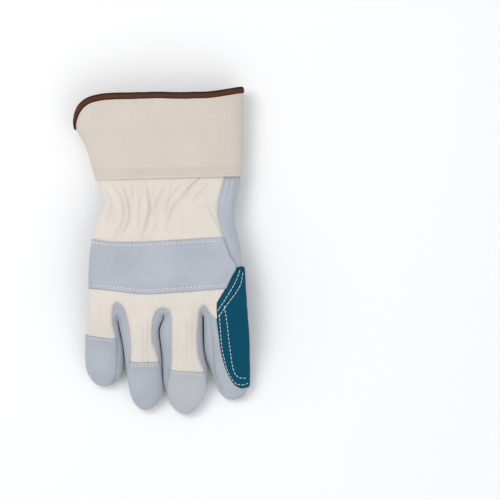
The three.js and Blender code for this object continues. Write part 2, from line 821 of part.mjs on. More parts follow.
// The mouth's outline from above, moved outwards by a distance.
function mouthOutline(outwards) {
  const curve = new THREE.SplineCurve(
    mouthEdge.map(
      ({ across, drop }) =>
        new THREE.Vector2(across * cuffMouthWidth, cuffFootY + cuffHeight * (1 - drop)),
    ),
  );
  const edge = Array.from({ length: mouthSteps + 1 }, (_, i) => {
    const point = curve.getPoint(i / mouthSteps);
    const run = curve.getTangent(i / mouthSteps);
    return [point.x + run.y * outwards, point.y - run.x * outwards];
  });
  return [...edge, [-far, edge[mouthSteps][1] - far / 4], [-far, 0], [far, 0], [far, edge[0][1]]];
}
const mouthCut = (outwards) => prismSolid(mouthOutline(outwards), -far, far);
const cuffShell = wallOf([cuffTube], 0, -cuffWall);
const cuff = cuffShell.intersect(mouthCut(0));
const bindingReach = seamGap + bindingWall;
const binding = wallOf([cuffTube], bindingReach, -cuffWall - bindingReach)
  .intersect(mouthCut(bindingReach).subtract(mouthCut(-bindingWidth)))
  .subtract(wallOf([cuffTube], seamGap, -cuffWall - seamGap).intersect(mouthCut(seamGap)));

// The leather patch on the palm side of the cuff, with two round corners.
const patchCorner = veinPatchHeight * 0.45;
const patchMid = 0;
const patchHalf = veinPatchWidth / 2;
const patchLow = cuffFootY + 1;
const patchShape = new THREE.Shape()
  .moveTo(patchMid - patchHalf, patchLow)
  .lineTo(patchMid + patchHalf, patchLow)
  .lineTo(patchMid + patchHalf, patchLow + veinPatchHeight - patchCorner)
  .absarc(patchMid + patchHalf - patchCorner, patchLow + veinPatchHeight - patchCorner, patchCorner, 0, Math.PI / 2)
  .absarc(patchMid - patchHalf + patchCorner, patchLow + veinPatchHeight - patchCorner, patchCorner, Math.PI / 2, Math.PI);
const patchPoints = patchShape.getPoints(5).map(({ x, y }) => [x, y]);
const veinPatch = wallOf([cuffTube], seamGap + overlayWall * 0.8, seamGap).intersect(
  prismSolid(patchPoints, -far, (cuffFoot.low + cuffFoot.high) / 2),
);

const materials = {
  canvas: new THREE.MeshStandardMaterial({ color: 0xe2dacf, roughness: 0.92, metalness: 0 }),
  greyLeather: new THREE.MeshStandardMaterial({ color: 0xb4bcc8, roughness: 0.85, metalness: 0 }),
  tealLeather: new THREE.MeshStandardMaterial({ color: 0x0c5168, roughness: 0.8, metalness: 0 }),
  tape: new THREE.MeshStandardMaterial({ color: 0x4a2e22, roughness: 0.8, metalness: 0 }),
};

const glove = new THREE.Group();
function addNode(name, solid, material) {
  const mesh = new THREE.Mesh(geometryOf(solid), material);
  mesh.name = name;
  glove.add(mesh);
}
addNode("cuff", cuff, materials.canvas);
addNode("cuff_binding", binding, materials.tape);
addNode("vein_patch", veinPatch, materials.greyLeather);
addNode("hand_back", handBack, materials.canvas);
addNode("knuckle_strap", knuckleStrap, materials.greyLeather);
addNode("fingertip_little", fingertips[0], materials.greyLeather);
addNode("fingertip_ring", fingertips[1], materials.greyLeather);
addNode("fingertip_middle", fingertips[2], materials.greyLeather);
addNode("palm_leather", palmLeather, materials.greyLeather);
addNode("middle_fingers_leather", middleFingers, materials.greyLeather);
addNode("thumb_back", thumbBack, materials.greyLeather);
addNode("thumb_front", thumbFront, materials.greyLeather);
addNode("double_palm", doublePalm, materials.tealLeather);
addNode("thumb_patch", thumbPatch, materials.tealLeather);

// The glove is centred over the middle of its bounding box, standing on z = 0.
const bounds = new THREE.Box3().setFromObject(glove);
const middleOfBox = bounds.getCenter(new THREE.Vector3());
glove.position.set(-middleOfBox.x, -middleOfBox.y, -bounds.min.z);

export default glove;
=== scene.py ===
import math
import bpy
import numpy as np
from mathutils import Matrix, Vector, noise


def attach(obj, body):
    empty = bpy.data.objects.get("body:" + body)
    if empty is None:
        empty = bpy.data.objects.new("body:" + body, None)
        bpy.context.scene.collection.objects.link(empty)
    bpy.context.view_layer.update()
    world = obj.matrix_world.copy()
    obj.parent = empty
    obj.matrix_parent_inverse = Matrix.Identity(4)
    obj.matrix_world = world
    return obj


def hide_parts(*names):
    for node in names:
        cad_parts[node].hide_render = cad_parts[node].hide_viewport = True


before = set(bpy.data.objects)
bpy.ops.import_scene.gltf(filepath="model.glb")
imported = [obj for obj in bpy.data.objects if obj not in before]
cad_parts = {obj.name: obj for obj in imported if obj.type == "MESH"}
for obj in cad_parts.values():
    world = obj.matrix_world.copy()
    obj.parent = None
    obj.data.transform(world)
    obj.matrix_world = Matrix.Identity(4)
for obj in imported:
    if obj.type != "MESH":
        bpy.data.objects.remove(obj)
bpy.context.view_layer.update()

# The palm leather: one big piece of grey split cowhide. It makes the palm, the wrist's thumb side,
# the front of the little finger and the whole index finger, and its edges lie under the canvas of
# the back. All sizes are millimetres on the lying glove, heights above the table.
HAND = [
    # y, left, right, low, high
    (65.8, -53.0, 62.6, 6.1, 26.8), (57.5, -52.6, 63.0, 5.9, 27.5), (43.4, -48.8, 60.3, 9.3, 30.2),
    (37.5, -46.7, 59.0, 11.3, 32.0), (31.5, -48.7, 58.0, 13.5, 34.6), (24.2, -51.6, 58.3, 15.8, 37.4),
    (10.0, -55.6, 61.3, 18.0, 40.0), (-1.5, -56.9, 63.4, 18.0, 40.0), (-14.5, -57.8, 65.2, 18.0, 40.0),
    (-31.5, -58.8, 65.9, 18.0, 39.6), (-42.6, -59.4, 66.6, 19.4, 38.4), (-49.6, -58.4, 65.6, 22.5, 34.6),
    (-52.2, -55.6, 62.5, 25.5, 30.5), (-52.8, -50.4, 57.0, 27.6, 28.4),
]
FINGER_HEIGHTS = [
    # share of the finger's length, low, high
    (-0.30, 22.5, 34.0), (0.0, 18.4, 37.0), (0.12, 16.7, 36.2), (0.24, 14.0, 33.4), (0.36, 10.4, 29.6),
    (0.5, 6.1, 25.2), (0.68, 1.2, 19.6), (0.84, 0.0, 15.2), (0.93, 0.0, 11.6), (0.98, 0.8, 8.4),
    (1.0, 3.0, 5.4),
]
CROTCH_Y = -46.5
LITTLE = [
    # y, left, right
    (-28, -57, -40), (-46, -59.8, -37.2), (-54, -60.2, -36.8), (-62, -60.7, -35.2), (-70, -61.2, -33.7),
    (-78, -62.2, -32), (-85, -62.7, -31.5), (-92, -62.6, -31.3), (-99, -61.1, -32.3), (-104, -58.6, -34.9),
    (-107.8, -55.2, -38.4), (-110, -51.2, -41.8), (-110.7, -47.2, -46),
]
INDEX = [
    (-24, 37, 60), (-46.5, 33.3, 67), (-54, 33.2, 67.6), (-65, 33, 68.4), (-76, 33.4, 68.9),
    (-86, 34.6, 69.2), (-95, 37.6, 69.3), (-103, 40.4, 69.3), (-110.5, 43.2, 69.3), (-115.5, 45.8, 68.7),
    (-119, 48.4, 66.0), (-121.4, 51.8, 62.0), (-122.3, 55.8, 57.8),
]
LEATHER_WALL = 1.6
WRIST_END = 65.2
TABLE_CLEARANCE = 0.02
# How square the ovals of the sections are: 2 is an ellipse, more is squarer.
HAND_POWER, FINGER_POWER, THUMB_POWER = 2.5, 2.3, 2.4
# How much closer the rings of a finger's mesh lie at its round tip.
CROWDED_TIP = 0.175


def smooth_rows(rows, at):
    """Every column of a table, read at any place between its rows on one smooth curve."""
    table = np.array(rows, dtype=float)
    table = table[np.argsort(table[:, 0])]
    place, value = table[:, 0], table[:, 1:]
    at = np.asarray(at, dtype=float)
    flat = np.clip(at.ravel(), place[0], place[-1])
    step = np.diff(place)[:, None]
    rise = np.diff(value, axis=0) / step
    slope = np.zeros_like(value)
    same = rise[:-1] * rise[1:] > 0
    both = rise[:-1] + rise[1:]
    slope[1:-1] = np.where(same, 2 * rise[:-1] * rise[1:] / np.where(both == 0, 1, both), 0)
    slope[0], slope[-1] = rise[0], rise[-1]
    i = np.clip(np.searchsorted(place, flat, side="right") - 1, 0, len(place) - 2)
    h = step[i]
    t = (flat[:, None] - place[i][:, None]) / h
    out = (
        (2 * t**3 - 3 * t**2 + 1) * value[i] + (t**3 - 2 * t**2 + t) * h * slope[i]
        + (3 * t**2 - 2 * t**3) * value[i + 1] + (t**3 - t**2) * h * slope[i + 1]
    )
    return out.reshape(at.shape + (value.shape[1],))


def finger_rows(edges, lowest=0.0):
    """A finger's table of edges joined with the heights that all the fingers share."""
    length = CROTCH_Y - edges[-1][0]
    rows = []
    for y in np.linspace(edges[0][0], edges[-1][0], 60):
        left, right = smooth_rows(edges, y)
        low, high = smooth_rows(FINGER_HEIGHTS, (CROTCH_Y - y) / length)
        rows.append((y, left + 0.1, right - 0.1, max(low, lowest), high))
    return rows


def start_grid(name, across, along):
    """A flat square of fine cells, the start of every piece of cloth and leather here."""
    bpy.ops.object.select_all(action="DESELECT")
    bpy.ops.mesh.primitive_grid_add(x_subdivisions=across, y_subdivisions=along, size=1)
    piece = bpy.context.object
    piece.name = name
    piece.data.name = name
    co = points_of(piece)
    return piece, (co[:, 0] + 0.5), (co[:, 1] + 0.5)


def points_of(piece):
    co = np.empty(len(piece.data.vertices) * 3)
    piece.data.vertices.foreach_get("co", co)
    return co.reshape(-1, 3)


def normals_of(piece):
    normal = np.empty(len(piece.data.vertices) * 3)
    piece.data.vertex_normals.foreach_get("vector", normal)
    return normal.reshape(-1, 3)


def move_points(piece, co):
    piece.data.vertices.foreach_set("co", np.ascontiguousarray(co, dtype=float).ravel())
    piece.data.update()


def only(piece):
    bpy.ops.object.select_all(action="DESELECT")
    piece.select_set(True)
    bpy.context.view_layer.objects.active = piece


def edit_whole(piece, *steps):
    """Runs steps of edit mode on a whole piece, and leaves nothing of it selected."""
    only(piece)
    bpy.ops.object.mode_set(mode="EDIT")
    bpy.ops.mesh.select_all(action="SELECT")
    for step, settings in steps:
        step(**settings)
    bpy.ops.mesh.select_all(action="DESELECT")
    bpy.ops.object.mode_set(mode="OBJECT")


def close_seam(piece):
    """Joins the points that meet where a sheet was rolled up, and turns its faces outward."""
    edit_whole(piece, (bpy.ops.mesh.remove_doubles, {"threshold": 1e-6}),
               (bpy.ops.mesh.normals_make_consistent, {"inside": False}))


def oval(section, turn, power):
    """Places on an oval section, by their angle from its right edge over the top."""
    left, right, low, high = section
    c, s = np.cos(turn), np.sin(turn)
    x = (left + right) / 2 + (right - left) / 2 * (np.sign(c) * np.abs(c) ** (2 / power))
    z = (low + high) / 2 + (high - low) / 2 * (np.sign(s) * np.abs(s) ** (2 / power))
    return x, z


def run_along(*sides):
    """How far each point of a line lies from its start, measured along the line."""
    return np.concatenate([[0], np.cumsum(np.hypot(*(np.diff(side) for side in sides)))])


def ring_points(section, power, turns, floor=0.0, facets=360):
    """Points evenly spaced round an oval section that rests on a floor."""
    x, z = oval(section, np.linspace(0, 2 * np.pi, facets + 1), power)
    z = np.maximum(z, floor)
    run = run_along(x, z)
    want = turns * run[-1]
    return np.interp(want, run, x), np.interp(want, run, z)


def tube(name, rows, power=FINGER_POWER, cell=1.1, close_start=True):
    """A closed tube of leather through the rows of a table, from the cuff's side to its tip."""
    ys = [row[0] for row in rows]
    top, end = max(ys), min(ys)
    widest = max(row[2] - row[1] for row in rows)
    across = int(2.3 * widest / cell)
    along = int((top - end) / cell)
    piece, u, v = start_grid(name, across, along)
    place = np.rint((1 - v) * along).astype(int)
    share = np.linspace(0, 1, along + 1)
    stations = top + (end - top) * (share + CROWDED_TIP * (share - share**3))
    sections = smooth_rows(rows, stations)
    co = np.zeros((len(u), 3))
    for k in range(along + 1):
        here = place == k
        x, z = ring_points(sections[k], power, u[here])
        if (k == 0 and close_start) or k == along:
            x, z = np.full_like(x, x.mean()), np.full_like(z, z.mean())
        co[here, 0], co[here, 1], co[here, 2] = x, stations[k], z
    move_points(piece, co * 0.001)
    close_seam(piece)
    return piece


def finish_with(piece, kind, **settings):
    """One modifier, set and applied."""
    only(piece)
    mod = piece.modifiers.new(kind.title(), kind)
    for key, value in settings.items():
        setattr(mod, key, value)
    bpy.ops.object.modifier_apply(modifier=mod.name)


def centres_of(piece):
    co = np.empty(len(piece.data.polygons) * 3)
    piece.data.polygons.foreach_get("center", co)
    return co.reshape(-1, 3) * 1000


def cut_away(piece, faces):
    """Removes the marked faces, and what they alone held."""
    only(piece)
    bpy.ops.object.mode_set(mode="EDIT")
    bpy.ops.mesh.select_all(action="DESELECT")
    bpy.ops.mesh.select_mode(type="FACE")
    bpy.ops.object.mode_set(mode="OBJECT")
    piece.data.polygons.foreach_set("select", faces)
    bpy.ops.object.mode_set(mode="EDIT")
    bpy.ops.mesh.delete(type="FACE")
    bpy.ops.mesh.select_mode(type="VERT")
    bpy.ops.object.mode_set(mode="OBJECT")


def within(rows, power, points, margin):
    """Which points lie inside a tube by more than a margin."""
    ys = [row[0] for row in rows]
    left, right, low, high = smooth_rows(rows, points[:, 1]).T
    wide = np.maximum((right - left) / 2 - margin, 0.1)
    deep = np.maximum((high - low) / 2 - margin, 0.1)
    x = np.abs(points[:, 0] - (left + right) / 2) / wide
    z = np.abs(points[:, 2] - (low + high) / 2) / deep
    return (x**power + z**power < 1) & (points[:, 1] < max(ys)) & (points[:, 1] > min(ys) + margin)


def soften(piece, depth, size, seed=0.0):
    """The slight unevenness of worn-in leather: every point moves a little along its normal."""
    co = points_of(piece)
    shift = Vector((seed, seed * 0.37, 0))
    wave = np.array([noise.noise(Vector(p) / size + shift) for p in co])
    move_points(piece, co + normals_of(piece) * (wave * depth)[:, None])


def give_wall(piece, wall):
    finish_with(piece, "SOLIDIFY", thickness=wall * 0.001, offset=-1)


def sewn_in(piece, material, *nodes, slot):
    """Rests a piece on the table, dyes it, gives it its body, and hides the solids that it stands for."""
    co = points_of(piece)
    co[:, 2] = np.maximum(co[:, 2], TABLE_CLEARANCE * 0.001)
    move_points(piece, co)
    piece.data.materials.append(material)
    only(piece)
    bpy.ops.object.shade_smooth_by_angle(angle=math.radians(50))
    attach(piece, "root")
    if nodes:
        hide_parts(*nodes)
    piece.select_set(False)


LITTLE_ROWS = finger_rows(LITTLE)
INDEX_ROWS = finger_rows(INDEX, 2.1)
hand = tube("hand_form", HAND, HAND_POWER, cell=1.0)
little = tube("little_form", LITTLE_ROWS, cell=1.0)
index = tube("index_form", INDEX_ROWS, cell=1.0)
only(hand)
little.select_set(True)
index.select_set(True)
bpy.ops.object.join()
palm = hand
palm.name = palm.data.name = "palm_leather"
finish_with(palm, "REMESH", mode="VOXEL", voxel_size=0.0011, use_smooth_shade=True)
finish_with(palm, "SMOOTH", factor=0.5, iterations=7)

# The wrist's end is open, and the leather stops a little way under the canvas of the back. The ring
# and middle fingers and the thumb are sewn to holes in it.
BACK_SEAM = [
    # y, x of the seam between the back and the thumb-side leather
    (70, 50.2), (58.2, 49.8), (44.4, 46.6), (36.4, 44.8), (28.3, 44.8), (20.2, 46.6), (9, 49.3),
    (-11.6, 56.8), (-27.5, 51.3), (-43.6, 43.1),
]
RING = [
    (-24, -34, .5), (-46.5, -36.8, 1.4), (-54, -36.3, 1.2), (-60.5, -35.2, -1.6), (-66, -34.2, -2.9),
    (-76, -32.4, -1.7), (-88, -30.8, -.7), (-98, -29.9, -.6), (-106, -28.9, -.2), (-113, -27.5, .2),
    (-119.5, -25.6, -1.4), (-124.5, -22.8, -4.4), (-128, -19.6, -8.2), (-129.9, -16.2, -11.8),
    (-130.4, -14.2, -13.6),
]
MIDDLE = [
    (-24, 4, 31), (-46.5, 1.8, 32.6), (-54, 1, 32.6), (-60.5, -1.4, 32.6), (-66, -2.8, 32.5),
    (-76, -1.6, 32.7), (-88, -.5, 34.1), (-98, -.4, 36.7), (-101, -.2, 37.1), (-106, .1, 36.9),
    (-114.5, 2.1, 35.3), (-121, 4.5, 32.8), (-126.8, 7.9, 29.2), (-130.8, 11.6, 25.4),
    (-133, 15.4, 21.8), (-133.6, 18, 19.2),
]
THUMB = [
    # x, minus the y of its cuff-side edge, minus the y of its finger-side edge, low, high
    (59.3, -26.8, -2.8, 9.5, 19), (57.1, -32.4, 4, 4.8, 23.6), (52.7, -35.2, 8.8, 1.3, 26.5),
    (46.9, -32.8, 12.4, 0, 25.2), (38.9, -27.2, 16, 0, 15.9), (31.6, -21.6, 19.6, 0, 13.2),
    (14, -12, 27.2, 0, 13), (.9, -3.2, 31.2, 0, 12.5), (-7.1, 3.6, 30.8, 0, 10.6),
    (-11.5, 10.4, 27.6, 0, 8.2), (-13.7, 16.4, 23.6, .8, 5.8),
]
RING_ROWS = finger_rows(RING)
MIDDLE_ROWS = finger_rows(MIDDLE)
edit_whole(palm, (bpy.ops.mesh.bisect, {
    "plane_co": (0, WRIST_END * 0.001, 0), "plane_no": (0, 1, 0), "clear_outer": True}))
middle_of = centres_of(palm)
seam_x = smooth_rows(BACK_SEAM, middle_of[:, 1])[:, 0]
hand_sides = smooth_rows(HAND, middle_of[:, 1])
mid_height = (hand_sides[:, 2] + hand_sides[:, 3]) / 2
under_back = (middle_of[:, 1] > -37) & (middle_of[:, 0] < seam_x - 4) & (middle_of[:, 2] > mid_height + 5)
along_thumb = np.stack([-middle_of[:, 1], middle_of[:, 0], middle_of[:, 2]], axis=1)
into_ring = within(RING_ROWS, FINGER_POWER, middle_of, margin=1.2)
into_middle = within(MIDDLE_ROWS, FINGER_POWER, middle_of, margin=1.2)
into_thumb = within(THUMB, THUMB_POWER, along_thumb, margin=1.5)
cut_away(palm, under_back | into_ring | into_middle | into_thumb)
soften(palm, 0.0004, 0.016)
soften(palm, 0.00012, 0.005, 3.0)
give_wall(palm, LEATHER_WALL)


def shade_group(name, *takes):
    """An empty group of shading nodes that takes named values and gives a colour and a relief."""
    group = bpy.data.node_groups.new(name, "ShaderNodeTree")
    for label, kind, value in takes:
        socket = group.interface.new_socket(name=label, in_out="INPUT", socket_type="NodeSocket" + kind)
        socket.default_value = value
    for label, kind in (("Colour", "Color"), ("Roughness", "Float"), ("Height", "Float")):
        group.interface.new_socket(name=label, in_out="OUTPUT", socket_type="NodeSocket" + kind)
    return group, group.nodes.new("NodeGroupInput").outputs


def end_group(group, *results):
    """Leads the finished colour, roughness and height out of a group."""
    way_out = group.nodes.new("NodeGroupOutput")
    for slot, result in enumerate(results):
        group.links.new(result, way_out.inputs[slot])


def add_node(tree, kind, values=(), **settings):
    """A node with its settings, and with its inputs given as values or as the outputs that feed them."""
    node = tree.nodes.new(kind)
    for key, value in settings.items():
        setattr(node, key, value)
    for key, value in dict(values).items():
        if isinstance(value, bpy.types.NodeSocket):
            tree.links.new(value, node.inputs[key])
        else:
            node.inputs[key].default_value = value
    return node


def maths(tree, operation, a, b=0.5, c=0.5, clamp=False):
    """The output of one sum on numbers or outputs."""
    values = {0: a, 1: b, 2: c}
    return add_node(tree, "ShaderNodeMath", values, operation=operation, use_clamp=clamp).outputs[0]


def speckle(tree, place, scale, detail, **settings):
    return add_node(tree, "ShaderNodeTexNoise", {
        "Vector": place, "Scale": scale, "Detail": detail, **settings}).outputs[0]


def mixed(tree, share, a, b):
    return add_node(tree, "ShaderNodeMix", {0: share, 6: a, 7: b}, data_type="RGBA").outputs[2]


# Split leather: a cloudy tone, a brushed nap with small darker pits, and painted shade and painted highlight
# from each piece's marks.
nap, taken = shade_group(
    "split_leather_nap", ("Place", "Vector", (0, 0, 0)), ("Tone", "Color", (0.5, 0.5, 0.5, 1)),
    ("Deep Tone", "Color", (0.3, 0.3, 0.3, 1)), ("Mottle", "Float", 0.5), ("Painted Shading", "Float", 0.0))
clouds = speckle(nap, taken["Place"], 30, 4, Roughness=0.5)
patches = speckle(nap, taken["Place"], 190, 3, Roughness=0.6)
fibres = speckle(nap, taken["Place"], 1500, 5, Roughness=0.75, Distortion=0.8)
pits = add_node(nap, "ShaderNodeTexVoronoi", {"Vector": taken["Place"], "Scale": 620, "Randomness": 1.0})
cloud_share = maths(nap, "MULTIPLY_ADD", clouds, 3.0, -1.0, clamp=True)
patch_share = maths(nap, "MULTIPLY_ADD", patches, 2.4, -0.7, clamp=True)
both_shares = maths(nap, "MULTIPLY_ADD", patch_share, 0.32, maths(nap, "MULTIPLY", cloud_share, 0.68))
fleck = maths(nap, "MULTIPLY_ADD", fibres, 3.2, -1.1, clamp=True)
grain = maths(nap, "MULTIPLY_ADD", fleck, 0.36, maths(nap, "MULTIPLY", both_shares, 0.64))
share = maths(nap, "MULTIPLY", grain, taken["Mottle"])
# The marks add painted shade to the grain's darkening, and where they are below nothing, painted highlight.
grain_and_painted_shading = maths(nap, "ADD", share, taken["Painted Shading"], clamp=True)
pit = maths(nap, "MULTIPLY_ADD", pits.outputs["Distance"], 0.35, 0.0)
end_group(nap, mixed(nap, grain_and_painted_shading, taken["Tone"], taken["Deep Tone"]),
          maths(nap, "MULTIPLY_ADD", fleck, 0.12, 0.78),
          maths(nap, "ADD", maths(nap, "MULTIPLY", fibres, 0.9), pit))


def start_material(name):
    material = bpy.data.materials.new(name)
    material.use_nodes = True
    material.node_tree.nodes.clear()
    return material, material.node_tree


def end_material(tree, colour, roughness, height, relief, depth, **finish):
    """The shader itself: a colour, a roughness and a relief that vary, and the finish that doesn't."""
    bump = add_node(tree, "ShaderNodeBump", {"Height": height, "Strength": relief, "Distance": depth})
    bsdf = add_node(tree, "ShaderNodeBsdfPrincipled", {
        "Base Color": colour, "Roughness": roughness, "Normal": bump.outputs[0],
        **{label.replace("_", " "): value for label, value in finish.items()}})
    add_node(tree, "ShaderNodeOutputMaterial", {0: bsdf.outputs[0]})


def leather(name, tone, deep, mottle=0.72, sheen=0.2, shine=0.2):
    """A split leather of one dye."""
    skin, tree = start_material(name)
    surface = add_node(tree, "ShaderNodeGroup", {
        "Place": add_node(tree, "ShaderNodeTexCoord").outputs["Object"],
        "Painted Shading": add_node(tree, "ShaderNodeAttribute", attribute_name="painted_shading").outputs["Fac"],
        "Tone": (*tone, 1), "Deep Tone": (*deep, 1), "Mottle": mottle}, node_tree=nap).outputs
    end_material(tree, surface["Colour"], surface["Roughness"], surface["Height"], 0.75, 0.0004,
                 Sheen_Weight=sheen, Sheen_Roughness=0.55, Specular_IOR_Level=shine)
    return skin


grey_leather = leather("grey_split_leather", (0.472, 0.504, 0.562), (0.308, 0.331, 0.379))
sewn_in(palm, grey_leather, "palm_leather", slot="grey_leather")

# The two middle fingers: their fronts and sides are one more piece of the grey leather, sewn to the
# palm across the base of the fingers. Each closes at its tip with a turned seam.
FINGERS_START = -41
ring, middle = (
    tube(name, [row for row in rows if row[0] < FINGERS_START], close_start=False)
    for name, rows in (("ring_finger", RING_ROWS), ("middle_finger", MIDDLE_ROWS)))
for finger, seed in ((ring, 5.0), (middle, 9.0)):
    finish_with(finger, "SMOOTH", factor=0.5, iterations=3)
    soften(finger, 0.0004, 0.015, seed)
    give_wall(finger, LEATHER_WALL)
only(ring)
middle.select_set(True)
bpy.ops.object.join()
middle_fingers = ring
middle_fingers.name = middle_fingers.data.name = "middle_fingers_leather"
sewn_in(middle_fingers, grey_leather, "middle_fingers_leather", slot="grey_leather")

# The thumb: two halves of grey leather sewn round its edge, set in the palm and folded back under
# it, so that it lies on the table with its front against the palm.
THUMB_SEAM = 0.7


def turned_thumb(co):
    """Turns the thumb, which is made along y, to lie across the palm."""
    return np.column_stack([co[:, 1], -co[:, 0], co[:, 2]])


def step_up(value, start, end):
    share = np.clip((value - start) / (end - start), 0, 1)
    return share * share * (3 - 2 * share)


def hump(gap, width):
    """One on a line, and less with the distance from it, to almost nothing at twice the width."""
    return np.exp(-(gap / width) ** 2)


# Each piece's marks of painted shade, darkening its colour at each point, and of painted highlight where they
# are below nothing.
def painted_shading_marks(piece):
    return piece.data.attributes.get("painted_shading") or piece.data.attributes.new("painted_shading", "FLOAT", "POINT")


thumb = tube("thumb_leather", THUMB, THUMB_POWER)
move_points(thumb, turned_thumb(points_of(thumb)))
cut_away(thumb, within(HAND, HAND_POWER, centres_of(thumb), margin=1.5))
finish_with(thumb, "SMOOTH", factor=0.5, iterations=3)
soften(thumb, 0.0005, 0.015, 2.0)
give_wall(thumb, LEATHER_WALL)
co, normal = points_of(thumb), normals_of(thumb)
left, right, low, high = smooth_rows(THUMB, co[:, 0] * 1000).T
off_middle = np.abs(2 * (-co[:, 1] * 1000 - left) / (right - left) - 1)
seam = hump(co[:, 2] * 1000 - (low + high) / 2, 0.9) * step_up(off_middle, 0.75, 0.95)
move_points(thumb, co - normal * (THUMB_SEAM * 0.001 * seam)[:, None])
# Painted shade along the sunken seam round the thumb's edge.
painted_shading_marks(thumb).data.foreach_set("value", 0.6 * seam)
sewn_in(thumb, grey_leather, "thumb_back", "thumb_front", slot="grey_leather")

# The back: one piece of unbleached cotton drill from the cuff to three strips on the fingers. Its
# edges are turned and sewn to the leather, and an elastic gathers it across the wrist.
FORMS = ((HAND, HAND_POWER),) + tuple(
    (rows, FINGER_POWER) for rows in (LITTLE_ROWS, RING_ROWS, MIDDLE_ROWS, INDEX_ROWS))
FINGERS_SPREAD = -30
NOWHERE = 300.0
TURN = 8.0
CANVAS_WALL = 1.1


def left_edge(y):
    hand_edge = smooth_rows(HAND, y)[..., 0]
    outer = np.minimum(hand_edge, smooth_rows(LITTLE_ROWS, y)[..., 0])
    return np.where(y < FINGERS_SPREAD, outer, hand_edge)


def right_edge(y):
    hand_edge = smooth_rows(HAND, y)[..., 1]
    outer = np.maximum(hand_edge, smooth_rows(INDEX_ROWS, y)[..., 1])
    return np.where(y < FINGERS_SPREAD, outer, hand_edge)


def form_height(x, y, side, forms=FORMS, blend=1.0):
    """The height of the stuffed glove's top (side 1) or underside (side -1) at each place."""
    heights = []
    for rows, power in forms:
        ys = [row[0] for row in rows]
        left, right, low, high = smooth_rows(rows, y).T
        off = np.abs(x - (left + right) / 2)
        half = (right - left) / 2
        rise = (1 - np.clip(off / half, 0, 1) ** power) ** (1 / power)
        z = (low + high) / 2 + side * (high - low) / 2 * rise
        z[(off > half + 2.0) | (y > max(ys) + 4) | (y < min(ys) - 0.5)] = -side * NOWHERE
        heights.append(side * z / blend)
    heights = np.array(heights)
    crest = heights.max(axis=0)
    return side * blend * (crest + np.log(np.exp(heights - crest).sum(axis=0)))


def round_the_edge(run):
    """How far a place lies inside the silhouette, seen from above, after this run over the surface."""
    run = np.abs(run)
    return np.where(run < TURN, run**2 / (2 * TURN), run - TURN / 2)


def run_to(inside):
    inside = np.maximum(inside, 0)
    return np.where(inside < TURN / 2, np.sqrt(2 * TURN * inside), inside + TURN / 2)


def onto_form(x, y, on_top, blend=1.0):
    top, bottom = form_height(x, y, 1), form_height(x, y, -1, blend=blend)
    return np.stack([x, y, np.where(on_top, top, bottom)], axis=1)


def from_left(flat):
    """Places on the form, from the run over it past the little-finger edge and from y."""
    x = left_edge(flat[:, 1]) + round_the_edge(flat[:, 0])
    return onto_form(x, flat[:, 1], flat[:, 0] >= 0)


def left_runs(points):
    points = np.array(points, dtype=float)
    points[:, 0] = run_to(points[:, 0] - left_edge(points[:, 1]))
    return points


def line_through(points, step=0.7):
    """A smooth line through points, as many close points."""
    points = np.array(points, dtype=float)
    run = run_along(*points.T)
    at = np.linspace(0, run[-1], max(int(run[-1] / step), 2))
    return smooth_rows(np.column_stack([run, points]), at)


def within_outline(outline, points):
    inside = np.zeros(len(points), dtype=bool)
    x, y = points[:, 0], points[:, 1]
    for (x0, y0), (x1, y1) in zip(outline, np.roll(outline, -1, axis=0)):
        if y0 != y1:
            inside ^= ((y0 > y) != (y1 > y)) & (x < x0 + (y - y0) * (x1 - x0) / (y1 - y0))
    return inside


def nearest_on(line, points, closed=True):
    """The nearest place on a line, how far it is, and its share of the line's length."""
    ends = np.roll(line, -1, axis=0) if closed else line[1:]
    starts = line if closed else line[:-1]
    run = ends - starts
    size = np.maximum((run**2).sum(axis=1), 1e-12)
    before = np.concatenate([[0], np.cumsum(np.sqrt(size))])
    near, gap, share = np.empty_like(points), np.empty(len(points)), np.empty(len(points))
    for first in range(0, len(points), 2000):
        part = points[first:first + 2000]
        away = part[:, None, :] - starts[None]
        t = np.clip((away * run[None]).sum(axis=2) / size[None], 0, 1)
        foot = starts[None] + t[..., None] * run[None]
        far = np.hypot(*(part[:, None, :] - foot).transpose(2, 0, 1))
        best = far.argmin(axis=1)
        row = np.arange(len(part))
        near[first:first + 2000] = foot[row, best]
        gap[first:first + 2000] = far[row, best]
        share[first:first + 2000] = (before[best] + t[row, best] * np.sqrt(size[best])) / before[-1]
    return near, gap, share


def cut_flat(name, outline, cell):
    """A flat piece cut to its outline from fine cells, with its edge on the line of the cut."""
    low, high = outline.min(axis=0), outline.max(axis=0)
    across, along = (int(math.ceil(size / cell)) for size in high - low)
    piece, u, v = start_grid(name, across, along)
    flat = np.column_stack([low[0] + u * (high - low)[0], low[1] + v * (high - low)[1]])
    move_points(piece, np.column_stack([flat, np.zeros(len(flat))]))
    cut_away(piece, ~within_outline(outline, centres_of(piece)[:, :2] / 1000))
    flat = points_of(piece)[:, :2]
    uses = np.empty(len(piece.data.loops), dtype=int)
    piece.data.loops.foreach_get("edge_index", uses)
    pair = np.empty(len(piece.data.edges) * 2, dtype=int)
    piece.data.edges.foreach_get("vertices", pair)
    rim = np.zeros(len(flat), dtype=bool)
    rim[pair.reshape(-1, 2)[np.bincount(uses, minlength=len(piece.data.edges)) == 1].ravel()] = True
    near, gap, _ = nearest_on(outline, flat)
    flat[rim] = near[rim]
    move_points(piece, np.column_stack([flat, np.zeros(len(flat))]))
    only(piece)
    bpy.ops.object.mode_set(mode="EDIT")
    bpy.ops.mesh.select_mode(type="VERT")
    bpy.ops.mesh.select_all(action="DESELECT")
    bpy.ops.object.mode_set(mode="OBJECT")
    piece.data.vertices.foreach_set("select", ~rim & (gap < 3 * cell))
    bpy.ops.object.mode_set(mode="EDIT")
    bpy.ops.mesh.vertices_smooth(factor=0.5, repeat=6)
    bpy.ops.mesh.select_all(action="DESELECT")
    bpy.ops.object.mode_set(mode="OBJECT")
    return piece, points_of(piece)[:, :2]


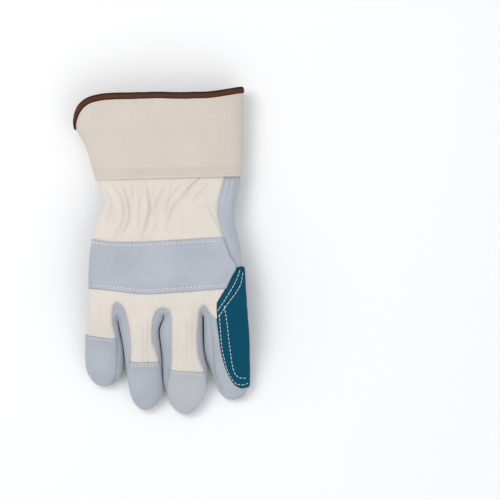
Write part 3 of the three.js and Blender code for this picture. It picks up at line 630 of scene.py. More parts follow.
def press(piece, line, depth, width, painted_amount):
    """Presses a soft line into a piece's top, as a seam or a fold does, and paints a little shade along it
    (painted highlight, where the amount is below nothing).
    """
    co, normal = points_of(piece), normals_of(piece)
    _, gap, share = nearest_on(line_through(line), co[:, :2] * 1000, closed=False)
    fade = np.sin(np.pi * np.clip(share, 0.03, 0.97)) ** 0.5 * np.clip(2 * normal[:, 2], 0, 1)
    dent = fade * hump(gap, width)
    move_points(piece, co - normal * (0.001 * depth * dent)[:, None])
    marks = painted_shading_marks(piece)
    old = np.empty(len(co))
    marks.data.foreach_get("value", old)
    marks.data.foreach_set("value", np.clip(old + painted_amount * dent, -0.3, 1))


def lay_threads(piece, run):
    """Gives a piece the map that its threads follow, with ten millimetres to a unit."""
    layer = piece.data.uv_layers.active or piece.data.uv_layers.new(name="weave")
    layer.name = "weave"
    corner = np.empty(len(piece.data.loops), dtype=int)
    piece.data.loops.foreach_get("vertex_index", corner)
    layer.data.foreach_set("uv", (run * 0.1)[corner].ravel())


def lay(piece, base, proud, wall, painted_shading=None):
    """Lays a cut piece on its form, proud of it by a height at each point, and gives it its wall."""
    move_points(piece, base * 0.001)
    # Marks of painted shade, and of painted highlight where they are below nothing, that change the piece's
    # colour.
    if painted_shading is not None:
        painted_shading_marks(piece).data.foreach_set("value", np.clip(painted_shading, -0.3, 1))
    move_points(piece, (base + normals_of(piece) * np.reshape(proud, (-1, 1))) * 0.001)
    give_wall(piece, wall)


CANVAS_EDGE = [
    # the thumb's side of the back, down to the side of the index finger
    [(50.2, 62), (49.8, 58.2), (46.6, 44.4), (44.8, 36.4), (44.8, 28.3), (46.6, 20.2), (49.5, 9),
     (54.2, -3.4), (58.6, -13.4), (53.8, -27.5), (47, -43.6), (47, -57.5)],
    # the tongue on the index finger
    [(45.8, -58.2), (43.7, -56.1), (40.5, -52.8), (37.4, -49.2), (35.2, -45.8), (33.4, -44.7),
     (31.8, -45.6), (30.9, -47.2)],
    # the middle finger's strip, down one side and up the other
    [(30.4, -48.5), (29, -58.2), (28.2, -70.6), (28.5, -81.9), (30.9, -91.8), (33.4, -98.2), (33.8, -101)],
    [(6.2, -100.5), (7.2, -88.1), (7.8, -70.3), (7.8, -58.2), (6.6, -51.4), (4, -48), (.3, -46.7)],
    # the ring finger's strip, and the side of the little finger's
    [(-3.2, -48.2), (-5.9, -51.4), (-7.9, -58.2), (-8.6, -68.5), (-6.9, -77.8), (-4.8, -84), (-2.4, -93.5)],
    [(-26.3, -94.5), (-25.5, -78.9), (-25.9, -70.6), (-27, -60.3), (-28.3, -54.3), (-30.2, -48.8),
     (-32.8, -44.6), (-35.2, -42.4), (-37, -42)],
    [(-38.4, -43), (-39.6, -45.4), (-40.3, -50.3), (-40.4, -57.2), (-39.8, -62.5), (-38.6, -67),
     (-37.8, -70.6), (-37.6, -74)],
]
# The little finger's end and the outer edge, as runs past the edge of the form.
LITTLE_END, OUTER_EDGE = [(10, -73.4), (-2.5, -72.4)], [(-2.5, -72.4), (-2.5, 62)]
canvas_line = np.concatenate(
    [left_runs(line_through(part)) for part in CANVAS_EDGE]
    + [line_through(LITTLE_END), line_through(OUTER_EDGE, 2.0)])
canvas_back, flat = cut_flat("canvas_back", canvas_line, 0.85)

# The folds that the wrist's elastic draws, and the soft ones down the strips, as lines down their
# hollows.
CANVAS_FOLDS = [
    # depth, width, then the line
    (0.8, 1.2, [(-42, 56.5), (-38.2, 51.1), (-32.8, 41.8), (-30.8, 33.7), (-31.5, 24.2), (-35.6, 14.8),
                (-38.6, 7)]),
    (0.9, 1.1, [(-33.5, 56), (-31.5, 51.1), (-28.1, 41.8), (-26.3, 32.3), (-26.7, 24.2), (-30.8, 14.8),
                (-33, 9)]),
    (0.6, 1.2, [(-47.5, 52), (-44.3, 45.8), (-40.9, 37.7), (-42.9, 28.3), (-45.7, 20)]),
    (0.6, 1.0, [(-21, 56), (-19.4, 51.1), (-18, 40.4), (-18.7, 28.3), (-18, 12)]),
    (1.1, 1.2, [(-13.4, 56), (-12, 51.1), (-10.6, 41.8), (-9.9, 33.7), (-12, 22.9), (-14.6, 13.5),
                (-16.6, 7)]),
    (0.5, 1.1, [(-2.6, 28), (-3.9, 22.9), (-6.5, 14.8), (-8.4, 8)]),
    (0.7, 1.1, [(4, 54), (0.8, 48.5), (-4.5, 37.7), (-6.5, 28)]),
    (0.7, 1.1, [(16.5, 54), (11.6, 48.5), (4.8, 39), (2.8, 28)]),
    (0.8, 1.1, [(22, 49), (18.3, 44.4), (10.3, 36.4), (6.2, 26.9), (3.6, 16)]),
    (1.1, 1.0, [(31, 60.5), (28.8, 57.6), (22.4, 51.1), (16, 43.4)]),
    (0.6, 1.0, [(38.5, 55), (34.5, 50.5), (27.8, 43.1), (23, 36.6)]),
    (0.7, 1.0, [(36.9, 35.4), (37.9, 33), (41.9, 25.6), (47.2, 15)]),
    (0.4, 0.9, [(-25.6, 55), (-24.7, 49.9), (-23.1, 38)]),
    (0.4, 0.9, [(-17, 55), (-16, 51), (-14.3, 42)]),
    (0.35, 1.0, [(-5, 55), (-6.5, 47), (-6.2, 40)]),
    (0.35, 1.0, [(9.5, 56), (7, 50), (3, 44)]),
    (0.3, 1.0, [(-38, 33), (-38.6, 24), (-41, 14)]),
    (0.25, 1.2, [(20, 30), (16.5, 22), (15.5, 14)]),
    (0.5, 1.0, [(-16.4, -60), (-15.5, -70), (-15.3, -94)]),
    (0.5, 1.0, [(-11, -52), (-11.6, -68), (-11.9, -94)]),
    (0.4, 0.8, [(-7.6, -60), (-8.2, -84)]),
    (0.45, 0.9, [(18.8, -52), (20.8, -66), (20.2, -92)]),
    (0.4, 0.8, [(24.2, -54), (24.6, -84)]),
    (0.3, 0.9, [(12.6, -58), (13.2, -84)]),
    (0.25, 1.4, [(-50.6, -40), (-49.8, -60)]),
]
place = from_left(flat)
hollow = np.zeros(len(flat))
swell = np.zeros(len(flat))
for depth, width, line in CANVAS_FOLDS:
    _, gap, share = nearest_on(line_through(line, 1.5), place[:, :2], closed=False)
    along = np.sin(np.pi * np.clip(share, 0.04, 0.96)) ** 0.6
    hollow += depth * along * hump(gap, width)
    swell += 0.5 * depth * along * hump(gap - 2.0 * width, 1.2 * width)
_, gap, _ = nearest_on(canvas_line, flat)
proud = 0.3 + 0.75 * step_up(gap, 0, 1.8) + 0.85 * swell - hollow
proud *= 0.45 + 0.55 * step_up(flat[:, 0], -1, 7)
lay_threads(canvas_back, place[:, :2])
# Painted shade in the hollows of the folds and along the turned edge.
lay(canvas_back, place, proud, CANVAS_WALL, 0.4 * hollow + 0.45 * hump(gap, 0.9))
soften(canvas_back, 0.0003, 0.014, 4.0)

# Cotton drill: warp and weft threads over and under each other, with thicker ones here and there.
weave, taken = shade_group(
    "cotton_weave", ("Run", "Vector", (0, 0, 0)), ("Threads", "Float", 14.0),
    ("Tone", "Color", (0.8, 0.75, 0.7, 1)), ("Deep Tone", "Color", (0.6, 0.5, 0.45, 1)),
    ("Painted Shading", "Float", 0.0))
run = add_node(weave, "ShaderNodeSeparateXYZ", {0: taken["Run"]})
turn = maths(weave, "MULTIPLY", taken["Threads"], math.pi)
warp, weft = (
    maths(weave, "SINE", maths(weave, "MULTIPLY", run.outputs[axis], turn)) for axis in (0, 1))
over = maths(weave, "GREATER_THAN", maths(weave, "MULTIPLY", warp, weft), 0.0)
under = maths(weave, "SUBTRACT", 1.0, over)
threads = maths(weave, "ADD", maths(weave, "MULTIPLY", maths(weave, "ABSOLUTE", warp), over),
                maths(weave, "MULTIPLY", maths(weave, "ABSOLUTE", weft), under))
drawn_out = [
    add_node(weave, "ShaderNodeMapping", {"Vector": taken["Run"], "Scale": scale}).outputs[0]
    for scale in ((14, 0.7, 1), (0.7, 14, 1))]
slubs, bars = (speckle(weave, drawn, 1.0, 2) for drawn in drawn_out)
cloud = speckle(weave, taken["Run"], 0.45, 3)
tone_share = maths(weave, "MULTIPLY_ADD", slubs, 0.26, -0.06)
tone_share = maths(weave, "MULTIPLY_ADD", bars, 0.2, tone_share)
tone_share = maths(weave, "MULTIPLY_ADD", cloud, 0.35, tone_share)
tone_share = maths(weave, "SUBTRACT", tone_share, maths(weave, "MULTIPLY", threads, 0.18), clamp=True)
# The marks add painted shade to the cloth's colour, and where they are below nothing, painted highlight.
tone_share = maths(weave, "ADD", tone_share, taken["Painted Shading"], clamp=True)
end_group(weave, mixed(weave, tone_share, taken["Tone"], taken["Deep Tone"]),
          maths(weave, "MULTIPLY_ADD", threads, -0.1, 0.95),
          maths(weave, "MULTIPLY_ADD", slubs, 0.6, threads))


def cotton(name, tone, deep, threads=14.0, relief=0.4, sheen=0.12, shine=0.15):
    """A woven cotton of one dye, its threads following the piece's own cut."""
    cloth, tree = start_material(name)
    surface = add_node(tree, "ShaderNodeGroup", {
        "Run": add_node(tree, "ShaderNodeUVMap", uv_map="weave").outputs[0],
        "Painted Shading": add_node(tree, "ShaderNodeAttribute", attribute_name="painted_shading").outputs["Fac"],
        "Threads": threads, "Tone": (*tone, 1), "Deep Tone": (*deep, 1)}, node_tree=weave).outputs
    end_material(tree, surface["Colour"], surface["Roughness"], surface["Height"], relief, 0.0003,
                 Sheen_Weight=sheen, Sheen_Roughness=0.6, Specular_IOR_Level=shine)
    return cloth


drill = cotton("unbleached_drill", (0.765, 0.71, 0.645), (0.53, 0.47, 0.405))
sewn_in(canvas_back, drill, "hand_back", slot="canvas")

# The index finger's back is joined to its side by a seam, and the wrist's leather is lightly folded. The
# hollows get painted shade and the ridges painted highlight.
PALM_FOLDS = [
    # depth, width, how much painted shade (below nothing: painted highlight), then the line
    (0.7, 0.9, 0.5, [(37.4, -48), (39.3, -60), (41.3, -80), (41.6, -96), (45.5, -108), (51.2, -117.5)]),
    (-0.6, 0.8, -0.3, [(54.2, 61), (52.6, 52), (50.2, 41)]),
    (-0.6, 0.8, -0.3, [(58.4, 61), (56.4, 52), (52.6, 40)]),
    (0.4, 0.8, 0.12, [(56.3, 61), (54.4, 52), (51.4, 40)]),
    (0.35, 0.9, 0.12, [(60.2, 58), (58.8, 46), (56.8, 32)]),
    (0.3, 1.0, 0.1, [(47.8, 33), (52, 32.2), (56.5, 33)]),
    (-0.25, 1.0, -0.2, [(50, 20), (52.5, 10), (57, 0)]),
]
for depth, width, painted_amount, fold in PALM_FOLDS:
    press(palm, fold, depth, width, painted_amount)

# The gussets: where two fingers part, a narrow tongue of the grey leather joins their sides and
# dips from the canvas down into the crack between them.
GUSSET_START = -36
GUSSET_DEPTH = 11
GUSSET_TAPER = 14
GUSSETS = [
    # the fingers on its left and right, half its width, and where it dips, is deepest and ends
    (LITTLE_ROWS, RING_ROWS, 6.5, -50, -65.5, -84),
    (RING_ROWS, MIDDLE_ROWS, 7.5, -49, -58.5, -80),
    (MIDDLE_ROWS, INDEX_ROWS, 5.0, -42, -50.5, -76),
]
for number, (one, other, half, dips, deepest, gone) in enumerate(GUSSETS):
    gusset, u, v = start_grid(f"finger_gusset_{number + 1}", 36, int((GUSSET_START - gone) / 0.9))
    y = gone + (GUSSET_START - gone) * v
    crack = (smooth_rows(one, y)[:, 1] + smooth_rows(other, y)[:, 0]) / 2
    left_z, right_z = form_height(crack - half, y, 1), form_height(crack + half, y, 1)
    depth = GUSSET_DEPTH * step_up(-y, -dips, -deepest) ** 1.5
    across = 2 * u - 1
    tapered = step_up(y, gone, gone + GUSSET_TAPER)
    dish = 1 - tapered * across ** 2
    nip = 2.2 * step_up(-y, -dips - 1, -dips + 6) * hump(across, 0.13)
    z = left_z + (right_z - left_z) * u - (0.5 + depth) * dish - nip - 0.5
    z = np.minimum(z, np.minimum(left_z, right_z) + 6)
    across = across * (0.1 + 0.9 * tapered)
    lay(gusset, np.column_stack([crack + half * across, y, z]), np.zeros(len(y)), 1.0)
    sewn_in(gusset, grey_leather, slot="grey_leather")

# The knuckle strap: a band of the grey leather laid over the canvas from edge to edge, and sewn
# down with a row of thread along its top and its bottom.
STRAP_TOP = line_through([(-57, 9.2), (-41.5, 6.9), (-27, 6.5), (-.2, 7.4), (30, 9.4), (49.4, 10.3)])
STRAP_END = line_through([(49.4, 10.3), (53.8, -3.4), (59.2, -13.8), (55.5, -22), (51.5, -31.2)])
STRAP_BOTTOM = line_through([(51.5, -31.2), (38.9, -32.2), (10.1, -34.3), (-13.6, -35.6), (-41.5, -32.7),
                             (-60, -31.2)])
strap_line = np.concatenate(
    [left_runs(part) for part in (STRAP_TOP, STRAP_END, STRAP_BOTTOM)]
    + [line_through([(-1.5, -31.2), (-1.5, 9.2)])])
strap, flat = cut_flat("knuckle_strap", strap_line, 1.15)
place = from_left(flat)
_, gap, _ = nearest_on(strap_line, flat)
top_row = STRAP_TOP + (0, -3.0)
bottom_row = STRAP_BOTTOM + (0, 3.4)
rows_gap = np.minimum(nearest_on(top_row, place[:, :2], closed=False)[1],
                      nearest_on(bottom_row, place[:, :2], closed=False)[1])


def low_waves(place, long, wide, seed):
    """The slow unevenness of a laid panel of leather, at each of its places."""
    return np.array([noise.noise(Vector((p[0] / long, p[1] / wide, seed))) for p in place])


proud = 1.4 + 1.0 * step_up(gap, 0, 1.3) + 0.8 * step_up(rows_gap, 0.5, 9) - 0.45 * hump(rows_gap, 0.9)
proud = proud + 0.7 * low_waves(place, 26, 11, 7.0) * step_up(gap, 1, 8)
proud = proud * (0.5 + 0.5 * step_up(flat[:, 0], -1, 7))
# Painted shade on the strap's edge and along its rows of thread, with a band of painted highlight just inside
# the edge.
lay(strap, place, proud, 1.3, 0.5 * hump(gap, 0.6) - 0.3 * hump(gap - 1.7, 0.7) + 0.2 * hump(rows_gap, 0.9))
sewn_in(strap, grey_leather, "knuckle_strap", slot="grey_leather")

# One stitch of thick cotton thread, a little sausage whose ends dip into their holes. Blender lists a
# ball's corners and faces in no fixed order, so both are sorted, and each run gives the same mesh.
bpy.ops.object.select_all(action="DESELECT")
bpy.ops.mesh.primitive_uv_sphere_add(segments=8, ring_count=7, radius=1, rotation=(0, math.pi / 2, 0))
bpy.ops.object.transform_apply(rotation=True)
stitch = bpy.context.object
stitch_points = points_of(stitch)
order = np.lexsort(stitch_points.T)
rank = np.argsort(order)
stitch_points = stitch_points[order]
stitch_points[:, 0] = np.sign(stitch_points[:, 0]) * np.abs(stitch_points[:, 0]) ** 0.8
stitch_faces = sorted(tuple(rank[list(face.vertices)].tolist()) for face in stitch.data.polygons)
bpy.data.objects.remove(stitch)


def thread(name, tone):
    """Twisted cotton thread of one dye."""
    yarn, tree = start_material(name)
    twist = speckle(tree, add_node(tree, "ShaderNodeTexCoord").outputs["Object"], 900, 2)
    tint = mixed(tree, twist, (*[c * 0.78 for c in tone], 1), (*tone, 1))
    end_material(tree, tint, 0.75, twist, 0.4, 0.0002, Specular_IOR_Level=0.25)
    return yarn


def pierced(through, x, y, side):
    """Where a needle at this place, seen from above, meets the outermost of the pieces, and how it faces."""
    found = None
    for piece in through:
        hit, place, normal, _ = piece.ray_cast(Vector((x * 0.001, y * 0.001, 0.3 * side)), (0, 0, -side))
        if hit and (found is None or side * (place.z - found[0].z) > 0):
            found = (place, normal)
    return found


def sew(name, lines, through, yarn, slot, side=1, pitch=3.3, length=2.4, width=0.6):
    """Rows of stitches along lines seen from above, lying on the pieces that they go through."""
    points, faces = [], []
    count = 0
    for line in lines:
        line = line_through(line, 0.4)
        run = run_along(*line.T)
        for middle_run in np.arange(pitch / 2, run[-1], pitch):
            count += 1
            wander = 0.12 * math.sin(count * 2.4)
            ends = [
                pierced(through, np.interp(at, run, line[:, 0]), np.interp(at, run, line[:, 1]), side)
                for at in (middle_run - length / 2 + wander, middle_run + length / 2 + wander)]
            if None in ends or (ends[1][0] - ends[0][0]).length > 0.0016 * length:
                continue
            (start, up_start), (finish, up_finish) = ends
            up = (up_start + up_finish).normalized()
            ahead = (finish - start).normalized()
            aside = up.cross(ahead).normalized()
            reach = (finish - start).length / 2
            centre = (start + finish) / 2 + up * 0.00004
            along, wide, high = stitch_points.T
            shape = (np.outer(along * reach, ahead) + np.outer(wide * width * 0.0005, aside)
                     + np.outer(high * width * 0.00042 + 0.00022 * (1 - along**2), up))
            first = len(points)
            points.extend((shape + np.array(centre)).tolist())
            faces.extend(tuple(first + corner for corner in face) for face in stitch_faces)
    mesh = bpy.data.meshes.new(name)
    mesh.from_pydata(points, [], faces)
    seam = bpy.data.objects.new(name, mesh)
    bpy.context.scene.collection.objects.link(seam)
    sewn_in(seam, yarn, slot=slot)


white_thread = thread("white_thread", (0.90, 0.89, 0.86))
sew("strap_stitches", [top_row, bottom_row], [strap], white_thread, "grey_leather", width=0.62)

# The leather tips: a cap of the grey leather over the back of the little, ring and middle fingers.
# Its straight edge is turned under and lies on the end of the canvas strip.
CAPS = [
    # node, the finger, its straight edge from its left to its right, the rows of thread below it, and
    # its share of the finger's width on the left and right along the finger
    ("fingertip_little", LITTLE_ROWS, (-68.0, -70.9), (2.9,), [
        (-66, -1, .66), (-71, -1, .70), (-85, -1, .645), (-95, -1, .64), (-103, -1, .62), (-108, -1, .7),
        (-110, -1, .9)]),
    ("fingertip_ring", RING_ROWS, (-89.7, -89.7), (2.7, 4.3), [
        (-88, -.73, .80), (-93, -.78, .85), (-99, -.92, .95), (-108, -.97, .98), (-126, -1, 1)]),
    ("fingertip_middle", MIDDLE_ROWS, (-96.4, -98.6), (2.9,), [
        (-95, -.64, .80), (-99, -.66, .83), (-106, -.78, .9), (-113, -.9, .97), (-121, -1, 1),
        (-129, -1, 1)]),
]
CAP_WALL = 1.1
CAP_CELL = 1.1
HEM = 3.2


def cap_on(name, rows, edge, sides, proud_edge=1.15):
    """A patch of leather laid over the top of a finger, from a straight edge round to the tip."""
    tip = min(row[0] for row in rows)
    widest = max(row[2] - row[1] for row in rows)
    along, across = int((max(edge) - tip) / CAP_CELL * 1.15), int(1.25 * widest / CAP_CELL)
    piece, u, v = start_grid(name, across, along)
    share = 1 - v
    share = share + 0.35 * (share - share**2)
    edge_y = edge[0] + (edge[1] - edge[0]) * u
    y = edge_y + (tip + 0.15 - edge_y) * share
    left, right, low, high = smooth_rows(rows, y).T
    side = smooth_rows(sides, y).clip(-1, 1)
    turn_left = np.sign(side[:, 0]) * np.abs(side[:, 0]) ** (FINGER_POWER / 2)
    turn_right = np.abs(side[:, 1]) ** (FINGER_POWER / 2)
    turn = np.arccos(turn_left) * (1 - u) + np.arccos(turn_right) * u
    x, z = oval((left, right, low, high), turn, FINGER_POWER)
    from_edge = edge_y - y
    from_side = np.minimum(u, 1 - u) * (right - left)
    rim = np.minimum(from_side, from_edge)
    proud = 0.25 + 0.55 * step_up(rim, 0, 1.8) - 0.2 * hump(from_edge - HEM, 0.7)
    proud += proud_edge * (1 - step_up(from_edge, 2, 11)) * step_up(rim, -.6, .8)
    # Painted shade down the cap's sides, a dark line of painted shadow along its straight edge, and a little
    # painted shade along the hem.
    painted_shading = (0.55 * hump(from_side, 0.9) * step_up(from_edge, 0, 6) + 0.95 * hump(from_edge, 0.7)
              + 0.12 * hump(from_edge - HEM, 0.9))
    lay(piece, np.column_stack([x, y, z]), proud, CAP_WALL, painted_shading)
    return piece


pale_leather = leather("pale_split_leather", (0.535, 0.556, 0.594), (0.375, 0.392, 0.425))
for name, rows, edge, rows_at, sides in CAPS:
    cap = cap_on(name, rows, edge, sides)
    soften(cap, 0.00025, 0.012, 6.0)
    if name == "fingertip_ring":
        press(cap, [(-12.2, -90.5), (-12.4, -99), (-12.8, -116)], -0.35, 0.7, 0)
    tip_leather = pale_leather if name == "fingertip_middle" else grey_leather
    sewn_in(cap, tip_leather, name, slot="grey_leather")
    left, right = smooth_rows(rows, edge[0])[0], smooth_rows(rows, edge[1])[1]
    share = smooth_rows(sides, min(edge))
    middle_x, half = (left + right) / 2, (right - left) / 2
    ends = (middle_x + half * max(share[0], -0.93), middle_x + half * share[1])
    lines = [[(ends[0] + 0.8, edge[0] - down), (sum(ends) / 2, sum(edge) / 2 - down - 0.3),
              (ends[1] - 0.8, edge[1] - down)] for down in rows_at]
    sew(f"{name}_stitches", lines, [cap], white_thread, "grey_leather", pitch=2.8, length=2.0, width=0.56)

# The double palm: a second layer of split leather, dyed teal. It covers the palm and the front of
# the index finger, turns round the finger's outer side and comes home on its back.
TEAL_EDGE = [
    # on the top of the form (1) or underneath (-1), then the line: the wrap's edge on the index
    # finger's back, its edge on the finger's front, then the palm's edges towards the fingers, the
    # little finger's side, the wrist and the thumb
    (1, [(65.1, -13.1), (62.2, -13.5), (59.6, -14.7), (56.9, -18.6), (53, -25.5), (50.2, -31), (44.6, -39.7),
         (43, -43.2), (43.1, -47), (43.9, -56), (45.5, -68.8), (46.8, -79), (49.7, -91.9), (54.1, -103.2),
         (59.4, -110.4), (64.5, -112.5), (68.2, -111.6)]),
    (-1, [(66.5, -112.5), (60.5, -111.6), (52.6, -105.8), (46.5, -96.7), (41.5, -80.7), (39.4, -62),
          (38.9, -47)]),
    (-1, [(38.9, -44.6), (20, -42.8), (0, -42.2), (-20, -42.4), (-40, -43), (-52.5, -42.2)]),
    (-1, [(-53.5, -41), (-54, -26), (-53, -10), (-50.5, 8), (-46, 24), (-42.5, 36.6)]),
    (-1, [(-42, 37.6), (-20, 38.6), (5, 38.8), (30, 38.2), (41.5, 37.6)]),
    (-1, [(41.5, 36.8), (38.5, 25), (37.5, 10), (39, -6), (44, -15.6), (52, -19), (59, -17.4),
          (63.4, -14.6)]),
]


def right_runs(points, side):
    """Runs over the form from the index-finger edge: less than nothing on top, more underneath."""
    points[:, 0] = -side * run_to(right_edge(points[:, 1]) - points[:, 0])
    return points


def from_right(flat):
    x = right_edge(flat[:, 1]) - round_the_edge(flat[:, 0])
    return onto_form(x, flat[:, 1], flat[:, 0] <= 0, blend=1.6)


teal_line = np.concatenate([right_runs(line_through(part), side) for side, part in TEAL_EDGE])
double_palm, flat = cut_flat("double_palm", teal_line, 1.15)
place = from_right(flat)
_, gap, _ = nearest_on(teal_line, flat)
proud = 0.35 + 1.45 * step_up(gap, 0, 1.9) - 0.3 * hump(gap - 6.6, 0.9) - 0.3 * hump(gap - 2.8, 0.9)
proud = proud + 0.4 * low_waves(place, 22, 16, 2.0) * step_up(gap, 6, 14)
# Painted shade along the teal's edge.
lay(double_palm, place, proud, 1.3, 0.5 * hump(gap, 0.8))
teal_leather = leather("teal_split_leather", (0.0012, 0.083, 0.142), (0.0008, 0.04, 0.078), mottle=0.55,
                       sheen=0.02, shine=0.08)
sewn_in(double_palm, teal_leather, "double_palm", slot="teal_leather")
BACK_ROWS = [
    [(62.8, -16), (60.4, -23), (56, -31.6), (51.2, -39.4), (44.6, -49.4)],
    [(65, -18), (63.6, -26.8), (60, -33.8), (55.2, -40.2), (50.1, -47.4), (45.6, -53.6)],
    [(46.1, -51.5), (46.6, -59.5), (47.3, -68.8), (48.1, -78.1), (49.9, -87.3), (52.3, -96.5), (56.1, -104.4),
     (61.1, -109.3), (66.4, -109.6), (69.4, -107.6)],
    [(50.1, -44.8), (52.4, -59.5), (53.9, -73.4), (55.3, -84.9), (56.8, -94.8), (59.1, -101.1),
     (62.8, -103.8), (69.2, -104.2)],
]
sew("wrap_stitches", BACK_ROWS[:2], [double_palm], white_thread, "teal_leather", length=3.0, width=0.46)
sew("finger_stitches", BACK_ROWS[2:], [double_palm], white_thread, "teal_leather", pitch=3.2, width=0.5)
PALM_ROWS = [
    [(38.5, 34.6), (20, 35.4), (-5, 35.6), (-25, 35.2), (-39.4, 34.4)],
    [(36, 28.6), (20, 29.2), (-5, 29.4), (-25, 29), (-41.2, 28.2)],
    [(-41.2, 32), (-46.2, 16), (-49.4, 0), (-50.8, -20), (-50.2, -39.6)],
    [(-49.5, -39.2), (-30, -39.8), (-10, -39.2), (10, -39.4), (30, -41), (41, -43)],
    [(-49.9, -33.2), (-30, -33.8), (-10, -33.2), (10, -33.4), (30, -35), (47, -37.6)],
    [(41.9, -47), (42.8, -62), (44.9, -79.4), (49.3, -94), (55, -102.6), (61.4, -108), (66, -109)],
    [(47.9, -47), (48.8, -62), (50.6, -76), (54.6, -90), (59.4, -97), (64.6, -101.4)],
    [(35.5, 27), (-47.4, -31)], [(-42, 26), (34, -32)],
    [(34.5, 33), (33.4, 12), (35, -8), (41, -21)],
]
sew("palm_stitches", PALM_ROWS, [double_palm], white_thread, "teal_leather", side=-1, pitch=3.4)

# The thumb's second layer: a teal patch on the thumb's front, the side that faces the palm.
thumb_patch = cap_on("thumb_patch", THUMB, (38.5, 38.5), [
    (38, -.86, .86), (0, -.84, .84), (-9, -.86, .86), (-13.7, -.9, .9)], proud_edge=0.0)
move_points(thumb_patch, turned_thumb(points_of(thumb_patch)))
sewn_in(thumb_patch, teal_leather, "thumb_patch", slot="teal_leather")

# The safety cuff: stiff, rubberised cotton canvas in one loop, sewn over the wrist. Its foot is
# hemmed with three rows of thread, and at the little finger's side its mouth is cut down in a curve.
CUFF = [
    # y, left, right, low, high
    (50, -52.6, 65.2, 3.6, 30), (56.8, -54.3, 65.2, 3.3, 30.2), (66, -57, 65.2, 2.6, 31),
    (73.5, -59.2, 65.2, 2, 31.6), (85.2, -63, 65.2, 1.6, 33), (95, -68.6, 65.2, 1.3, 34),
    (101, -71.8, 65.2, 1.3, 34.4), (107, -73, 65.2, 1.3, 34.6), (120, -73.5, 65.2, 1.3, 35),
    (140, -74, 65.2, 1.3, 35.2),
]
MOUTH = line_through([(65.2, 131.6), (54.4, 129.7), (34.5, 126.9), (15, 126.6), (-4.3, 126.7), (-24, 126.3),
                      (-43.5, 125.9), (-57, 123.8), (-66, 119.2), (-70.9, 112.2), (-72.2, 106), (-71.8, 102),
                      (-70.4, 98), (-68.6, 94)])
# What is kept of the loop lies inside this outline, seen from above.
KEPT = np.concatenate([[(120, -100), (120, 132.6)], MOUTH, [(-120, 66), (-120, -100)]])
CUFF_WALL = 2.0
CUFF_POWER = 2.5
CUFF_FLOOR = 1.3
CUFF_ROUND = 300


def cuff_surface(turns, ys):
    """Points on the cuff's outer face, by their share of the way round it and their y."""
    sides = [ring_points(section, CUFF_POWER, turn, CUFF_FLOOR, 720)
             for section, turn in zip(smooth_rows(CUFF, ys), turns)]
    return np.insert(np.array(sides), 1, ys, axis=1)


def evened(values, times=1):
    """A closed row of values, each drawn towards its neighbours."""
    for _ in range(times):
        values = (np.roll(values, 1, axis=0) + 2 * values + np.roll(values, -1, axis=0)) / 4
    return values


cuff_turns = np.arange(CUFF_ROUND) / CUFF_ROUND
mouth_y = np.empty(CUFF_ROUND)
probe = np.linspace(86, 140, 163)
for k, turn_here in enumerate(cuff_turns):
    line = cuff_surface(np.full(len(probe), turn_here), probe)
    out = ~within_outline(KEPT, line[:, :2])
    mouth_y[k] = probe[max(int(out.argmax()), 1)] if out.any() else probe[-1]
mouth_y = evened(mouth_y, 14)
foot_y = np.interp(cuff_surface(cuff_turns, np.full(CUFF_ROUND, 58.0))[:, 0], [-53, 65], [56.7, 59.8])

cuff, u, v = start_grid("cuff", CUFF_ROUND, 52)
column = np.rint(u * CUFF_ROUND).astype(int) % CUFF_ROUND
place = cuff_surface(cuff_turns[column], foot_y[column] + (mouth_y[column] - foot_y[column]) * (1 - v))
lay_threads(cuff, np.column_stack([u * CUFF_ROUND, place[:, 1]]))
move_points(cuff, place * 0.001)
close_seam(cuff)
soften(cuff, 0.0006, 0.045, 1.0)
soften(cuff, 0.0002, 0.012, 8.0)
give_wall(cuff, CUFF_WALL)
cuff_canvas = cotton("cuff_canvas", (0.675, 0.615, 0.55), (0.475, 0.42, 0.355), threads=15.0, relief=0.35)
sewn_in(cuff, cuff_canvas, "cuff", slot="cuff_canvas")
unbleached_thread = thread("unbleached_thread", (0.74, 0.68, 0.6))
hems = [[(-51.0 - 0.25 * up, 56.9 + up), (6, 58.2 + up), (62.5, 59.6 + up)] for up in (2.6, 5.0, 7.4)]
# Each hem row is pressed in, with a little painted shade.
for hem in hems:
    press(cuff, hem, 0.28, 0.8, 0.16)
sew("cuff_hem_stitches", hems, [cuff], unbleached_thread, "cuff_canvas", pitch=2.9, length=2.0, width=0.42)

# The binding: brown cotton tape folded over the cuff's mouth edge and sewn through.
TAPE_WIDTH = 4.6
TAPE_WALL = 0.5
TAPE_CELL = 1.1
SLIVER = 0.004
FOLD = [
    # how far in from the cuff's edge, how far out of its face, once round the folded tape
    (TAPE_WIDTH, -.15), (TAPE_WIDTH - .3, .5), (3.3, .95), (2.2, 1.1), (1.1, 1), (.2, .75), (-.55, .3),
    (-.95, -.35), (-1, -1), (-.95, -1.7), (-.55, -2.45), (.2, -2.85), (1.4, -2.85), (3, -2.8),
    (TAPE_WIDTH - .3, -2.5), (TAPE_WIDTH, -1.9),
]


def unit(rows):
    return rows / np.linalg.norm(rows, axis=1)[:, None]


edge_loop = cuff_surface(cuff_turns, mouth_y)
edge_loop = np.vstack([edge_loop, edge_loop[:1]])
run = np.concatenate([[0], np.cumsum(np.linalg.norm(np.diff(edge_loop, axis=0), axis=1))])
TAPE_ROUND = int(run[-1] / TAPE_CELL)
at = np.arange(TAPE_ROUND) / TAPE_ROUND * run[-1]
edge = evened(np.column_stack([np.interp(at, run, side) for side in edge_loop.T]), 2)
ahead = unit(np.roll(edge, -1, axis=0) - np.roll(edge, 1, axis=0))
mid_turn = np.interp(at, run, np.append(cuff_turns, 1.0))


def across_cuff(turn, up):
    """The step over the cuff's face between two places, this far to both sides of its edge."""
    return (cuff_surface((mid_turn + turn) % 1, edge[:, 1] + up)
            - cuff_surface((mid_turn - turn) % 1, edge[:, 1] - up))


